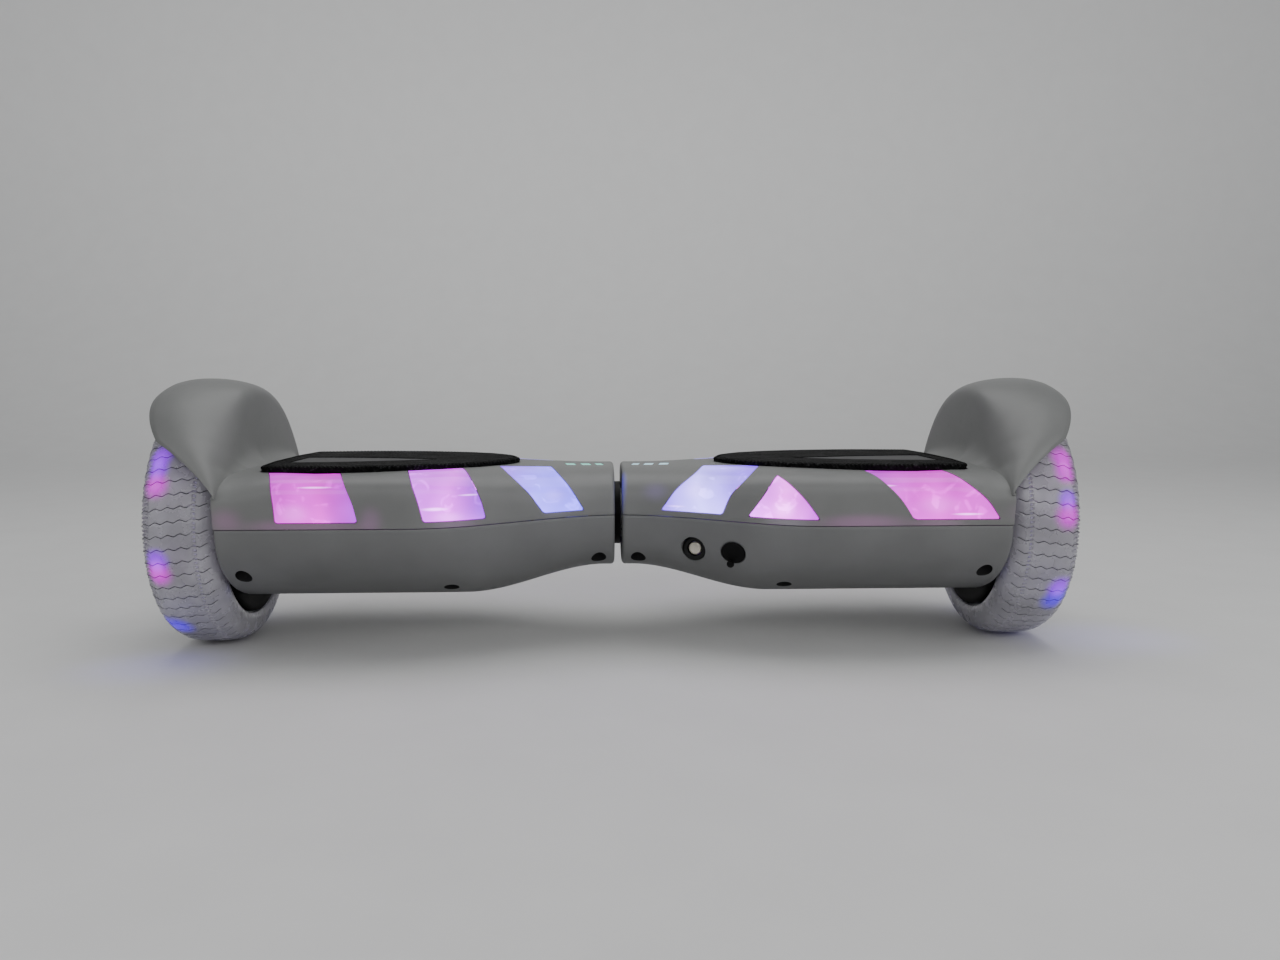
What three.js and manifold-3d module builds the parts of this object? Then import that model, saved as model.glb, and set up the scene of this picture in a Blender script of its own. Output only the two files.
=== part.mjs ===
// A self-balancing hoverboard with two halves, in millimetres.
// X runs along the board to the right, Y away from the side with the charge port, Z up; the origin is on the
// floor under the middle. Each half is built at positive X, and the left half's group is mirrored.
import * as THREE from "three";
import { mergeVertices } from "three/addons/utils/BufferGeometryUtils.js";
import Module from "manifold-3d";

const wasm = await Module();
wasm.setup();

// ---- driving dimensions ----
const WHEEL_RADIUS = 83.5;
const AXLE_Z = WHEEL_RADIUS;
const WHEEL_SIDES = 24;
const PIVOT_Z = 85.4;
const HALF_GAP = 2.5; // from the middle plane to each half's end wall
const BODY_END = 244; // outer face of the wall beside the wheel
const WALL = 3;
const SEAM_GAP = 0.4; // between the upper and lower shells
const FIT = 0.4; // between neighbouring pieces that only touch
const PAD_TOP = 124;
const PAD_THICK = 3.9;
const PAD_TRAVEL = 1.5;
const PAD_FLOOR = PAD_TOP - PAD_THICK - PAD_TRAVEL - FIT;
const TURN_IN = THREE.MathUtils.degToRad(22); // how far the waist turns the button and port
const PORT_TILT = THREE.MathUtils.degToRad(26); // how far the port leans to lie along the skin
const COLOURS = {
  shell: 0x6b6c6a,
  shellLow: 0x565857,
  rubber: 0x141414,
  lens: 0xf0c8ff,
  tyre: 0xc9c7d6,
  steel: 0xb9bbbd,
  alloy: 0xa7abb0,
  black: 0x0c0c0c,
  board: 0x1d5a36,
  battery: 0x2b4f9a,
  brass: 0xb08d4a,
};

// ---- small helpers ----
const clamp01 = (x) => Math.min(1, Math.max(0, x));
const ease = (x) => clamp01(x) ** 2 * (3 - 2 * clamp01(x));
const mix = (a, b, t) => a + (b - a) * t;
const deg = THREE.MathUtils.degToRad;

function solidOf(geometry) {
  const bare = geometry.clone();
  bare.deleteAttribute("normal");
  bare.deleteAttribute("uv");
  const merged = mergeVertices(bare, 1e-3);
  const vertProperties = Float32Array.from(merged.attributes.position.array);
  const triVerts = Uint32Array.from(merged.index.array);
  const made = new wasm.Manifold(new wasm.Mesh({ numProp: 3, vertProperties, triVerts }));
  if (made.volume() > 0) return made;
  triVerts.reverse(); // the profile ran the other way round
  return new wasm.Manifold(new wasm.Mesh({ numProp: 3, vertProperties, triVerts }));
}

function geometryOf(solid) {
  const mesh = solid.getMesh();
  return new THREE.BufferGeometry()
    .setAttribute("position", new THREE.BufferAttribute(Float32Array.from(mesh.vertProperties), 3))
    .setIndex(new THREE.BufferAttribute(Uint32Array.from(mesh.triVerts), 1));
}

const join = (...solids) => solids.reduce((a, b) => a.add(b));
const cut = (solid, ...tools) => tools.reduce((a, b) => a.subtract(b), solid);

const box = (x0, x1, y0, y1, z0, z1) =>
  solidOf(
    new THREE.BoxGeometry(x1 - x0, y1 - y0, z1 - z0).translate((x0 + x1) / 2, (y0 + y1) / 2, (z0 + z1) / 2),
  );

// A solid of revolution about an axis along X at height z, from [x, radius] points.
function turned(points, sides, z, phase = 0) {
  const outline = points.map(([x, r]) => new THREE.Vector2(r, x));
  return solidOf(
    new THREE.LatheGeometry(outline, sides, phase, 2 * Math.PI).rotateZ(-Math.PI / 2).translate(0, 0, z),
  );
}

const ring = (x0, x1, rIn, rOut, sides, z, phase = 0) =>
  turned([[x0, rIn], [x1, rIn], [x1, rOut], [x0, rOut], [x0, rIn]], sides, z, phase);

const disc = (x0, x1, r, sides, z) => turned([[x0, 0], [x1, 0], [x1, r], [x0, r], [x0, 0]], sides, z);

// An upright solid of revolution at (x, y), from [radius, z] points that start and end on the axis.
const upright = (points, sides, x, y) =>
  solidOf(
    new THREE.LatheGeometry(points.map(([r, z]) => new THREE.Vector2(r, z)), sides)
      .rotateX(Math.PI / 2)
      .translate(x, y, 0),
  );
const post = (x, y, z0, z1, r, sides = 10) => upright([[0, z0], [r, z0], [r, z1], [0, z1]], sides, x, y);

// A flat outline in plan, extruded from z0 to z1.
const plate = (points, z0, z1) =>
  solidOf(
    new THREE.ExtrudeGeometry(new THREE.Shape(points), { depth: z1 - z0, bevelEnabled: false }).translate(0, 0, z0),
  );

// Closed rings of [x, y, z] points, one after another, skinned and capped at both ends.
function skinned(given) {
  const clockwise = THREE.ShapeUtils.isClockWise(given[0].map(([, y, z]) => new THREE.Vector2(y, z)));
  const rings = clockwise ? given.map((loop) => [...loop].reverse()) : given;
  const count = rings[0].length;
  const index = [];
  rings.slice(1).forEach((_, i) => {
    for (let j = 0; j < count; j++) {
      const a = i * count + j;
      const b = i * count + ((j + 1) % count);
      index.push(a, b, a + count, b, b + count, a + count);
    }
  });
  [0, rings.length - 1].forEach((i) => {
    const flat = rings[i].map(([, y, z]) => new THREE.Vector2(y, z));
    THREE.ShapeUtils.triangulateShape(flat, []).forEach(([a, b, c]) => {
      const face = [a, b, c].map((k) => k + i * count);
      index.push(...(i === 0 ? face.reverse() : face));
    });
  });
  const made = new THREE.BufferGeometry()
    .setAttribute("position", new THREE.Float32BufferAttribute(rings.flat(2), 3))
    .setIndex(index);
  return solidOf(made);
}

// ---- the body's skin ----
const UPPER_PIECES = 10;
const LOWER_PIECES = 8;
const STATIONS = [HALF_GAP, 20, 44, 70, 98, 128, 225, BODY_END];

// The cross-section at distance u from the middle: two half superellipses that meet at the seam.
function sectionAt(u) {
  const spread = ease(u / 127);
  return {
    depth: mix(52, 89, spread),
    seam: mix(90.2, 87.2, spread),
    top: mix(119.5, 121.3, ease((u - 20) / 80)),
    bottom: mix(51.5, 33.5, ease((u - 10) / 90)),
    powerUp: 3.4 + 2.6 * ease((u - 20) / 80) - 1.6 * ease((u - 215) / 25),
    powerDown: mix(2.6, 2.1, spread),
  };
}

// Points [y, z] along the upper or lower half of the section, from front to back, at even spacing.
function arc(u, inset, upper, pieces) {
  const s = sectionAt(u);
  const power = upper ? s.powerUp : s.powerDown;
  const height = (upper ? s.top - s.seam : s.seam - s.bottom) - inset;
  const start = s.seam + (upper ? SEAM_GAP : -SEAM_GAP) / 2;
  const fine = [];
  for (let k = 0; k <= 180; k++) {
    const a = (Math.PI * k) / 180;
    const y = -(s.depth - inset) * Math.sign(Math.cos(a)) * Math.abs(Math.cos(a)) ** (2 / power);
    const rise = height * Math.abs(Math.sin(a)) ** (2 / power);
    fine.push(new THREE.Vector2(y, upper ? Math.max(start, s.seam + rise) : Math.min(start, s.seam - rise)));
  }
  const along = [0];
  fine.slice(1).forEach((p, k) => along.push(along[k] + p.distanceTo(fine[k])));
  const total = along[along.length - 1];
  return Array.from({ length: pieces + 1 }, (_, i) => {
    const want = (total * i) / pieces;
    const k = Math.max(1, along.findIndex((d) => d >= want - 1e-9));
    const t = (want - along[k - 1]) / (along[k] - along[k - 1] || 1);
    const p = fine[k - 1].clone().lerp(fine[k], t);
    return [p.x, p.y];
  });
}

// The layer of the body between two insets from the skin, open along the seam.
function layer(insetOut, insetIn, upper, stations = STATIONS) {
  const pieces = upper ? UPPER_PIECES : LOWER_PIECES;
  return skinned(
    stations.map((u) => {
      const outer = arc(u, insetOut, upper, pieces);
      const inner = arc(u, insetIn, upper, pieces).reverse();
      return [...outer, ...inner].map(([y, z]) => [u, y, z]);
    }),
  );
}

// Everything inside the upper or lower half of the skin between two stations.
function filled(u0, u1, upper, inset = 0) {
  const inner = STATIONS.filter((u) => u > u0 && u < u1);
  return skinned(
    [u0, ...inner, u1].map((u) => arc(u, inset, upper, upper ? UPPER_PIECES : LOWER_PIECES).map(([y, z]) => [u, y, z])),
  );
}

// ---- the fender over the wheel ----
const LIP_START = 76; // degrees from the top where the lip meets the body
const LIP_CORNER = 51.5;
const FENDER_OUT = 296;

// How far out the fender reaches at an angle from the top.
function fenderReach(angle) {
  const a = Math.abs(angle);
  if (a > LIP_CORNER) return mix(BODY_END - 1, 284, (LIP_START - a) / (LIP_START - LIP_CORNER));
  return FENDER_OUT - 12 * clamp01((a - 25) / (LIP_CORNER - 25)) ** 2;
}

// The fender's outer radius from the axle, rounded at its outer edge and, near the top, towards the board.
function fenderRadius(x, reach, angle) {
  const shoulder = 8.7 * (1 - clamp01((x - 241) / 34)) ** 2.2 * (1 - ease((Math.abs(angle) - 48) / 24));
  const roll = 5 * clamp01((x - reach + 8) / 8) ** 2.4 * clamp01((reach - 250) / 30);
  return 94.6 - shoulder - roll;
}

function fender() {
  const rows = 12;
  const columns = [0, 0.2, 0.55, 0.86, 1];
  const rings = Array.from({ length: rows + 1 }, (_, i) => {
    const angle = mix(-LIP_START, LIP_START, i / rows);
    const reach = fenderReach(angle);
    const points = columns.map((c) => {
      const x = mix(241, reach, c);
      return [x, fenderRadius(x, reach, angle)];
    });
    const loop = [...points, ...points.map(([x, r]) => [x, r - WALL]).reverse()];
    return loop.map(([x, r]) => [x, -r * Math.sin(deg(angle)), AXLE_Z + r * Math.cos(deg(angle))]);
  });
  const count = rings[0].length;
  const index = [];
  rings.slice(1).forEach((_, i) => {
    for (let j = 0; j < count; j++) {
      const a = i * count + j;
      const b = i * count + ((j + 1) % count);
      index.push(a, b, a + count, b, b + count, a + count);
    }
  });
  [0, rows].forEach((i) => {
    for (let j = 0; j < count / 2 - 1; j++) {
      const quad = [j, j + 1, count - 2 - j, count - 1 - j].map((k) => k + i * count);
      const faces = [quad[0], quad[2], quad[1], quad[0], quad[3], quad[2]];
      index.push(...(i === 0 ? faces : faces.reverse()));
    }
  });
  return solidOf(
    new THREE.BufferGeometry()
      .setAttribute("position", new THREE.Float32BufferAttribute(rings.flat(2), 3))
      .setIndex(index),
  );
}

// The upright wall beside the wheel: the body's section joined to a disc under the fender.
function wheelWall() {
  const points = [];
  for (let i = 0; i <= 12; i++) {
    const a = deg(mix(-LIP_START, LIP_START, i / 12));
    points.push(new THREE.Vector2(AXLE_Z + 84.5 * Math.cos(a), -84.5 * Math.sin(a)));
  }
  const outline = new THREE.ExtrudeGeometry(new THREE.Shape(points), { depth: WALL, bevelEnabled: false });
  return solidOf(outline.rotateY(-Math.PI / 2).translate(BODY_END, 0, 0));
}

// ---- windows in the upper shell ----
// Each window's two edges give x as a quadratic in the distance d up the skin from the seam.
const WINDOWS = {
  right: [
    { near: [26, 0.5, 0.009], far: [64, 0.4, 0.006], top: 52 },
    { near: [78, 0.66, 0], far: [124.6, -0.6, -0.004], top: 31.5 },
    { near: [184, -0.62, 0], far: [237, -0.62, 0], top: 39 },
  ],
  left: [
    { near: [156, 0.35, 0], far: [205.5, 0.24, 0], top: 39 },
    { near: [81, 0.3, 0.002], far: [119, 0.28, 0], top: 39 },
    { near: [19, 0.5, 0.002], far: [46, 0.62, 0], top: 56 },
  ],
};
const WINDOW_LOW = 3.6;

// The point on the skin at distance d up from the front seam, moved inwards by inset.
function skinPoint(x, d, inset) {
  const outer = arc(x, 0, true, 60);
  const shell = arc(x, inset, true, 60);
  let gone = 0;
  for (let k = 1; k < outer.length; k++) {
    const step = Math.hypot(outer[k][0] - outer[k - 1][0], outer[k][1] - outer[k - 1][1]);
    if (gone + step >= d || k === outer.length - 1) {
      const t = clamp01((d - gone) / step);
      return [x, mix(shell[k - 1][0], shell[k][0], t), mix(shell[k - 1][1], shell[k][1], t)];
    }
    gone += step;
  }
}

// A closed patch of the skin between a window's edges, through the wall.
function windowTool(window, grow, side, outer = -2, inner = 7) {
  const rows = 3;
  const low = WINDOW_LOW - grow;
  const high = window.top + grow;
  const edge = (q, d) => q[0] + q[1] * d + q[2] * d * d;
  const rings = Array.from({ length: rows + 1 }, (_, i) => {
    const d = mix(low, high, i / rows);
    const x0 = edge(window.near, d) - grow;
    const x1 = Math.max(edge(window.far, d) + grow, x0 + 1.2);
    const xs = [x0, x1];
    const loop = [...xs.map((x) => skinPoint(x, d, outer)), ...xs.reverse().map((x) => skinPoint(x, d, inner))];
    return loop.map(([x, y, z]) => [x, side * y, z]);
  });
  const count = rings[0].length;
  const index = [];
  rings.slice(1).forEach((_, i) => {
    for (let j = 0; j < count; j++) {
      const a = i * count + j;
      const b = i * count + ((j + 1) % count);
      index.push(a, b, a + count, b, b + count, a + count);
    }
  });
  [0, rows].forEach((i) => {
    const quad = [0, 1, 2, 3].map((k) => k + i * count);
    const faces = [quad[0], quad[2], quad[1], quad[0], quad[3], quad[2]];
    index.push(...(i === 0 ? faces : faces.reverse()));
  });
  return solidOf(
    new THREE.BufferGeometry()
      .setAttribute("position", new THREE.Float32BufferAttribute(rings.flat(2), 3))
      .setIndex(index),
  );
}

// ---- foot pad ----
const PAD_CURVE = [[67, 0], [72, 21], [89, 43], [112, 58], [135, 66], [150, 69.5], [172, 72], [194, 72.5], [216, 69]];
const PAD_OUT = 227;

// The pad's outline in plan, grown outwards by a margin.
function padOutline(grow) {
  const front = new THREE.CatmullRomCurve3(PAD_CURVE.map(([x, y]) => new THREE.Vector3(x, y, 0)));
  const side = front.getPoints(9).map((p) => [p.x, p.y]);
  const outer = [[222, 66], [PAD_OUT, 0]];
  const upper = [...side, ...outer];
  const lower = upper.slice(1, -1).reverse().map(([x, y]) => [x, -y]);
  const middle = 160;
  return [...upper, ...lower].map(([x, y]) => {
    const k = 1 + grow / Math.hypot(x - middle, y);
    return new THREE.Vector2(middle + (x - middle) * k, y * k);
  });
}
const PILLARS = [[185, 42], [185, -42]];

// ---- screws, with towers in the lower shell and bosses in the upper ----
const SCREWS = [
  { x: 231.5, y: 74, seat: 66 },
  { x: 107, y: 56, seat: 54 },
  { x: 13, y: 40.5, seat: 68 },
];
const SCREW_SITES = SCREWS.flatMap((s) => [-1, 1].map((side) => ({ ...s, y: side * s.y })));
const HEAD_R = 3.6;
const TOWER_FLOOR = 2.4;

const screw = ({ x, y, seat }) =>
  upright(
    [[0, seat - 2.8], [HEAD_R, seat - 2.8], [HEAD_R, seat - FIT], [1.6, seat - FIT], [1.6, seat + 16], [0, seat + 16]],
    7, x, y,
  );

// ---- power button and charge port, set square to the waist ----
const BUTTON = { at: [47.5, -59.7, 69], tilt: 0 };
const PORT = { at: [71.9, -69.8, 68.1], tilt: PORT_TILT };

// A geometry made along +Y, turned to a fitting's inward axis and moved to it.
const fitted = (geometry, { at: [x, y, z], tilt }) => solidOf(geometry.rotateX(tilt).rotateZ(-TURN_IN).translate(x, y, z));

// A solid of revolution about a fitting's inward axis, from [depth, radius] points.
const inward = (points, fitting, sides = 16) =>
  fitted(new THREE.LatheGeometry(points.map(([d, r]) => new THREE.Vector2(r, d)), sides), fitting);
const inwardRod = (d0, d1, r, fitting, sides) => inward([[d0, 0], [d0, r], [d1, r], [d1, 0]], fitting, sides);

const BUTTON_DEPTH = 7; // from the skin to the recess floor
const PORT_DEPTH = 1; // from the skin to the ledge under the cap
const CAP_R = 7.7;

// ---- the pieces of one half ----
function upperShell(side) {
  const roof = cut(plate(padOutline(2.6), PAD_FLOOR - WALL, PAD_FLOOR), ...PILLARS.map(([x, y]) => post(x, y, 90, 130, 8)));
  // A boss keeps clear of the lower shell's wall, and reaches through the seam into the roof.
  const below = filled(HALF_GAP + 0.1, BODY_END - 0.1, false, WALL + 0.6).translate(0, 0, 0.7);
  const bosses = SCREW_SITES.flatMap((s) => [
    post(s.x, s.y, s.seat + TOWER_FLOOR + FIT, 104, 4.8, 6).intersect(below),
    post(s.x, s.y, 80, 130, 4.8, 6).intersect(filled(HALF_GAP, BODY_END, true, 1)),
  ]);
  const shape = join(
    layer(0, WALL, true),
    filled(HALF_GAP, HALF_GAP + WALL, true),
    filled(BODY_END - WALL, BODY_END, true),
    wheelWall().subtract(box(200, 300, -120, 120, -50, 100)),
    fender(),
    roof,
    ...bosses,
  );
  const tools = [
    plate(padOutline(0.5), PAD_FLOOR, 140),
    ...PILLARS.map(([x, y]) => post(x, y, 90, 130, 8)),
    ...WINDOWS[side].flatMap((w) => [windowTool(w, 0, 1), windowTool(w, 0, -1)]),
    ...indicatorBars(0.3),
    disc(0, 20, 22.4, 24, PIVOT_Z),
    disc(200, BODY_END + 2, 13, 20, AXLE_Z),
    ...SCREW_SITES.map((s) => post(s.x, s.y, 40, s.seat + 20, 2.1, 5)),
  ];
  return cut(shape, ...tools);
}

function lowerShell(side) {
  const towers = SCREW_SITES.map((s) =>
    post(s.x, s.y, 30, s.seat + TOWER_FLOOR, 6.8, 8).intersect(filled(HALF_GAP, BODY_END, false)),
  );
  let shape = join(
    layer(0, WALL, false),
    filled(HALF_GAP, HALF_GAP + WALL, false),
    filled(BODY_END - WALL, BODY_END, false),
    ...towers,
  );
  if (side === "right") {
    const keep = filled(20, 120, false);
    shape = join(
      shape,
      inwardRod(-20, BUTTON_DEPTH + 2, 9.4, BUTTON, 16).intersect(keep),
      inwardRod(-20, PORT_DEPTH + 2, 10.2, PORT, 16).intersect(keep),
    );
    shape = cut(
      shape,
      inwardRod(-20, BUTTON_DEPTH, 7.4, BUTTON),
      inwardRod(0, 30, 5.4, BUTTON),
      inwardRod(-20, PORT_DEPTH, 8.3, PORT),
      inwardRod(0, 30, 7.4, PORT),
    );
  }
  return cut(
    shape,
    ...SCREW_SITES.flatMap((s) => [post(s.x, s.y, 0, s.seat, 4.6, 8), post(s.x, s.y, 40, 90, 2.2, 5)]),
    disc(0, 20, 22.4, 24, PIVOT_Z),
    disc(200, BODY_END + 2, 13, 20, AXLE_Z),
  );
}

// The translucent panel behind the shell on one side: a band along the seam with the windows raised from it.
function lightPanel(side, face) {
  const stations = [18, 44, 70, 98, 128, 225];
  const band = skinned(
    stations.map((u) =>
      [[2.2, 5.9], [2.2, 4.7], [11, 4.7], [11, 5.9]].map(([d, inset]) => {
        const [x, y, z] = skinPoint(u, d, inset);
        return [x, face * y, z];
      }),
    ),
  );
  const raised = WINDOWS[side].map((w) => windowTool(w, -0.7, face, 0.05, 5.8));
  return cut(
    join(band, ...raised),
    plate(padOutline(3.2), PAD_FLOOR - WALL - FIT, 140),
    ...SCREW_SITES.map((s) => post(s.x, s.y, 40, 130, 5.2, 8)),
  );
}

// Three slanted slots on top beside the waist.
function indicatorBars(grow) {
  return [[9, 5], [17.3, 6.4], [27.6, 6.6]].map(([x, width]) =>
    plate(
      [[x - grow, -13 - grow], [x + width + grow, -13 - grow], [x + width + 2 + grow, 1 + grow], [x + 2 - grow, 1 + grow]]
        .map(([px, py]) => new THREE.Vector2(px, py)),
      108, 130,
    ),
  );
}

function indicatorLens() {
  const bars = join(...indicatorBars(-0.2)).intersect(filled(HALF_GAP, 60, true, 0.1));
  return join(box(8.5, 36.6, -13.6, 1.6, 112.6, 114.2), bars.subtract(box(0, 60, -40, 20, 100, 113.6)));
}

function chassis(side) {
  const bore = side === "right" ? 17.3 : 20.4;
  const shape = join(
    box(22, 207, -36, 36, 70, 74),
    box(62, 207, -36, -32.5, 70, 97.6),
    box(62, 207, 32.5, 36, 70, 97.6),
    box(206, 238, -27, 27, 66, 83),
    disc(20, 56, 25, 20, PIVOT_Z),
    box(185, 207, -36, 36, 66.5, 72),
  );
  return cut(
    shape,
    disc(0, 70, bore, 24, PIVOT_Z),
    disc(56, 70, 24.4, 20, PIVOT_Z),
    disc(200, 240, 8.4, 16, AXLE_Z),
    box(84, 170, -22, 22, 60, 80),
  );
}

function axleClamp() {
  const bolts = [[222, 19], [222, -19]].map(([x, y]) => post(x, y, 93, 98, 4.2, 6));
  return cut(join(box(208, 236, -26, 26, 83.6, 94), ...bolts), disc(200, 240, 8.4, 20, AXLE_Z));
}

const stator = () =>
  turned(
    [[206.5, 0], [206.5, 8], [254, 8], [254, 26], [257, 26], [257, 53], [277, 53], [277, 26], [279.5, 26], [279.5, 8], [285, 8], [285, 0]].reverse(),
    16, AXLE_Z,
  );

function sensorBoard() {
  return join(
    box(164, 206, -50, 50, 98.1, 99.7),
    ...PILLARS.map(([x, y]) => box(x - 5, x + 5, y - 5, y + 5, 99, 104)),
    box(172, 180, -12, 12, 99, 102.4),
  );
}

function footPad() {
  const base = PAD_TOP - PAD_THICK;
  return join(plate(padOutline(0), base, PAD_TOP), ...PILLARS.map(([x, y]) => post(x, y, 105.9, base + 1, 6)));
}

// ---- the wheel ----
function tyre() {
  const flat = 1 / Math.cos(Math.PI / WHEEL_SIDES); // so that the flats, not the corners, are at the radius
  const outline = [
    [250.6, 66.6], [288.4, 66.6], [292.3, 74], [290, 80.5], [282, 83.5],
    [258, 83.5], [250, 81], [246.6, 73], [248.2, 68.6], [250.6, 68.6], [250.6, 66.6],
  ].map(([x, r]) => [x, r * flat]);
  return turned(outline, WHEEL_SIDES, AXLE_Z, Math.PI / WHEEL_SIDES);
}

function rim() {
  const phase = Math.PI / WHEEL_SIDES;
  const outline = [
    [250.2, 57], [281.8, 57], [281.8, 16.6], [288, 16.6], [288, 66.2], [278, 66.2], [278, 63.6],
    [259, 63.6], [259, 66.2], [250.2, 66.2], [250.2, 57],
  ];
  return turned(outline, WHEEL_SIDES, AXLE_Z, phase);
}

const lightRing = () => ring(259.4, 277.6, 64, 65.9, WHEEL_SIDES, AXLE_Z, Math.PI / WHEEL_SIDES);
const hubCover = () =>
  turned([[246.4, 16.6], [249.8, 16.6], [249.8, 68], [248, 68], [246.4, 65], [246.4, 16.6]], WHEEL_SIDES, AXLE_Z, Math.PI / WHEEL_SIDES);
const hubCap = () =>
  turned([[288.4, 0], [291.4, 0], [291.4, 50], [288.4, 58], [288.4, 0]], WHEEL_SIDES, AXLE_Z, Math.PI / WHEEL_SIDES);
const bearing = (x) => ring(x, x + 5.4, 8.4, 16.2, 14, AXLE_Z);

// ---- the pieces that only one half has ----
const pivotShaft = () => ring(-63.4, 56, 11, 17, 24, PIVOT_Z);
const collar = () => ring(-2.1, 2.1, 17.3, 21.6, 24, PIVOT_Z);
// A flanged bush from its flange face at x, going into the bore by depth (either way along X).
function bushing(x, depth) {
  const flange = Math.sign(depth) * 2.4;
  return turned(
    [[x, 17.3], [x + depth, 17.3], [x + depth, 20.1], [x + flange, 20.1], [x + flange, 23.5], [x, 23.5], [x, 17.3]],
    24, PIVOT_Z,
  );
}
const circlip = () => cut(ring(-61.4, -59.2, 17.2, 21, 24, PIVOT_Z), box(-70, -58, -3, 3, PIVOT_Z, PIVOT_Z + 30));

function harness() {
  const path = new THREE.CatmullRomCurve3(
    [[-92, 0, 82], [-60, 0, PIVOT_Z], [0, 0, PIVOT_Z], [54, 0, PIVOT_Z], [86, 0, 82]].map((p) => new THREE.Vector3(...p)),
  );
  const section = new THREE.Shape().absarc(0, 0, 4, 0, 2 * Math.PI);
  return solidOf(
    new THREE.ExtrudeGeometry(new THREE.Shape(section.getPoints(4).slice(0, 8)), { steps: 12, extrudePath: path }),
  );
}

const battery = () => join(box(84, 200, -33, 33, 44, 66), box(90, 110, -12, 12, 65, 68));
const controlBoard = () =>
  join(box(-196, -86, -33, 33, 62, 63.6), box(-186, -130, -26, 26, 48, 62.4), box(-118, -92, -20, 20, 54, 62.4));

// The sleeve around the button's recess floor, with the switch behind it.
function switchBody() {
  const sleeve = [[5, 5.5], [5, 7], [6.6, 7], [6.6, 5.1], [23, 5.1], [23, 0], [17, 0], [17, 4.6], [6.6, 4.6], [5, 5.5]];
  return inward(sleeve, BUTTON, 14);
}
const buttonCap = () => inward([[3.6, 0], [3.6, 3.8], [4.1, 4.2], [14.5, 4.2], [14.5, 0], [3.6, 0]], BUTTON, 14);

// The socket, with a shallow recess under the cap's plug.
const chargeSocket = () =>
  inward([[1.4, 6.5], [1.4, 7.1], [17, 7.1], [17, 0], [3.6, 0], [3.6, 6.5], [1.4, 6.5]], PORT, 14);

// A rubber cap with a short plug, a pull tab below it and a hinge strap above.
function chargeCap() {
  const face = inward([[-1.2, 0], [-1.2, 7.2], [-0.7, CAP_R], [0.5, CAP_R], [0.5, 5.4], [2.2, 5.4], [2.2, 0], [-1.2, 0]], PORT, 16);
  const tab = fitted(new THREE.BoxGeometry(4.6, 1.2, 3.2).translate(-1, -0.6, -CAP_R - 0.6), PORT);
  return face.add(tab);
}

// ---- assembly ----
const board = new THREE.Group();

function add(group, name, solid, colour, roughness = 0.5, metalness = 0) {
  const material = new THREE.MeshStandardMaterial({ color: colour, roughness, metalness });
  const mesh = new THREE.Mesh(geometryOf(solid), material);
  mesh.name = name;
  group.add(mesh);
}

["right", "left"].forEach((side) => {
  const half = new THREE.Group();
  if (side === "left") half.scale.x = -1;
  board.add(half);
  add(half, `${side}_upper_shell`, upperShell(side), COLOURS.shell);
  add(half, `${side}_lower_shell`, lowerShell(side), COLOURS.shellLow);
  add(half, `${side}_front_light_panel`, lightPanel(side, 1), COLOURS.lens, 0.2);
  add(half, `${side}_rear_light_panel`, lightPanel(side, -1), COLOURS.lens, 0.2);
  add(half, `${side}_indicator_lens`, indicatorLens(), COLOURS.lens, 0.2);
  add(half, `${side}_chassis`, chassis(side), COLOURS.alloy, 0.45, 0.9);
  add(half, `${side}_axle_clamp`, axleClamp(), COLOURS.alloy, 0.4, 0.9);
  add(half, `${side}_sensor_board`, sensorBoard(), COLOURS.board, 0.5);
  add(half, `${side}_motor_stator`, stator(), COLOURS.steel, 0.4, 1);
  add(half, `${side}_foot_pad`, footPad(), COLOURS.rubber, 0.85);
  add(half, `${side}_tyre`, tyre(), COLOURS.tyre, 0.35);
  add(half, `${side}_wheel_rim`, rim(), COLOURS.alloy, 0.35, 1);
  add(half, `${side}_wheel_light_ring`, lightRing(), COLOURS.lens, 0.3);
  add(half, `${side}_hub_inner_cover`, hubCover(), COLOURS.black, 0.5);
  add(half, `${side}_hub_cap`, hubCap(), COLOURS.steel, 0.3, 0.8);
  add(half, `${side}_inner_bearing`, bearing(247), COLOURS.steel, 0.25, 1);
  add(half, `${side}_outer_bearing`, bearing(282.4), COLOURS.steel, 0.25, 1);
  SCREW_SITES.forEach((site, i) => add(half, `${side}_shell_screw_${i + 1}`, screw(site), COLOURS.black, 0.4, 0.9));
});

add(board, "pivot_shaft", pivotShaft(), COLOURS.steel, 0.3, 1);
add(board, "pivot_collar", collar(), COLOURS.black, 0.6);
add(board, "pivot_inner_bushing", bushing(-17.2, -14), COLOURS.brass, 0.5);
add(board, "pivot_outer_bushing", bushing(-58.8, 14), COLOURS.brass, 0.5);
add(board, "pivot_circlip", circlip(), COLOURS.steel, 0.3, 1);
add(board, "cross_harness", harness(), COLOURS.black, 0.6);
add(board, "battery_pack", battery(), COLOURS.battery, 0.5);
add(board, "control_board", controlBoard(), COLOURS.board, 0.5);
add(board, "power_switch_body", switchBody(), COLOURS.black, 0.4);
add(board, "power_button", buttonCap(), COLOURS.steel, 0.35, 0.8);
add(board, "charge_socket", chargeSocket(), COLOURS.steel, 0.4, 0.8);
add(board, "charge_port_cap", chargeCap(), COLOURS.rubber, 0.8);

export default board;
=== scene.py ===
# Looks for a self-balancing hoverboard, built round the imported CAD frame.
# Sizes are in millimetres until a mesh is made.
import math

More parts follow.
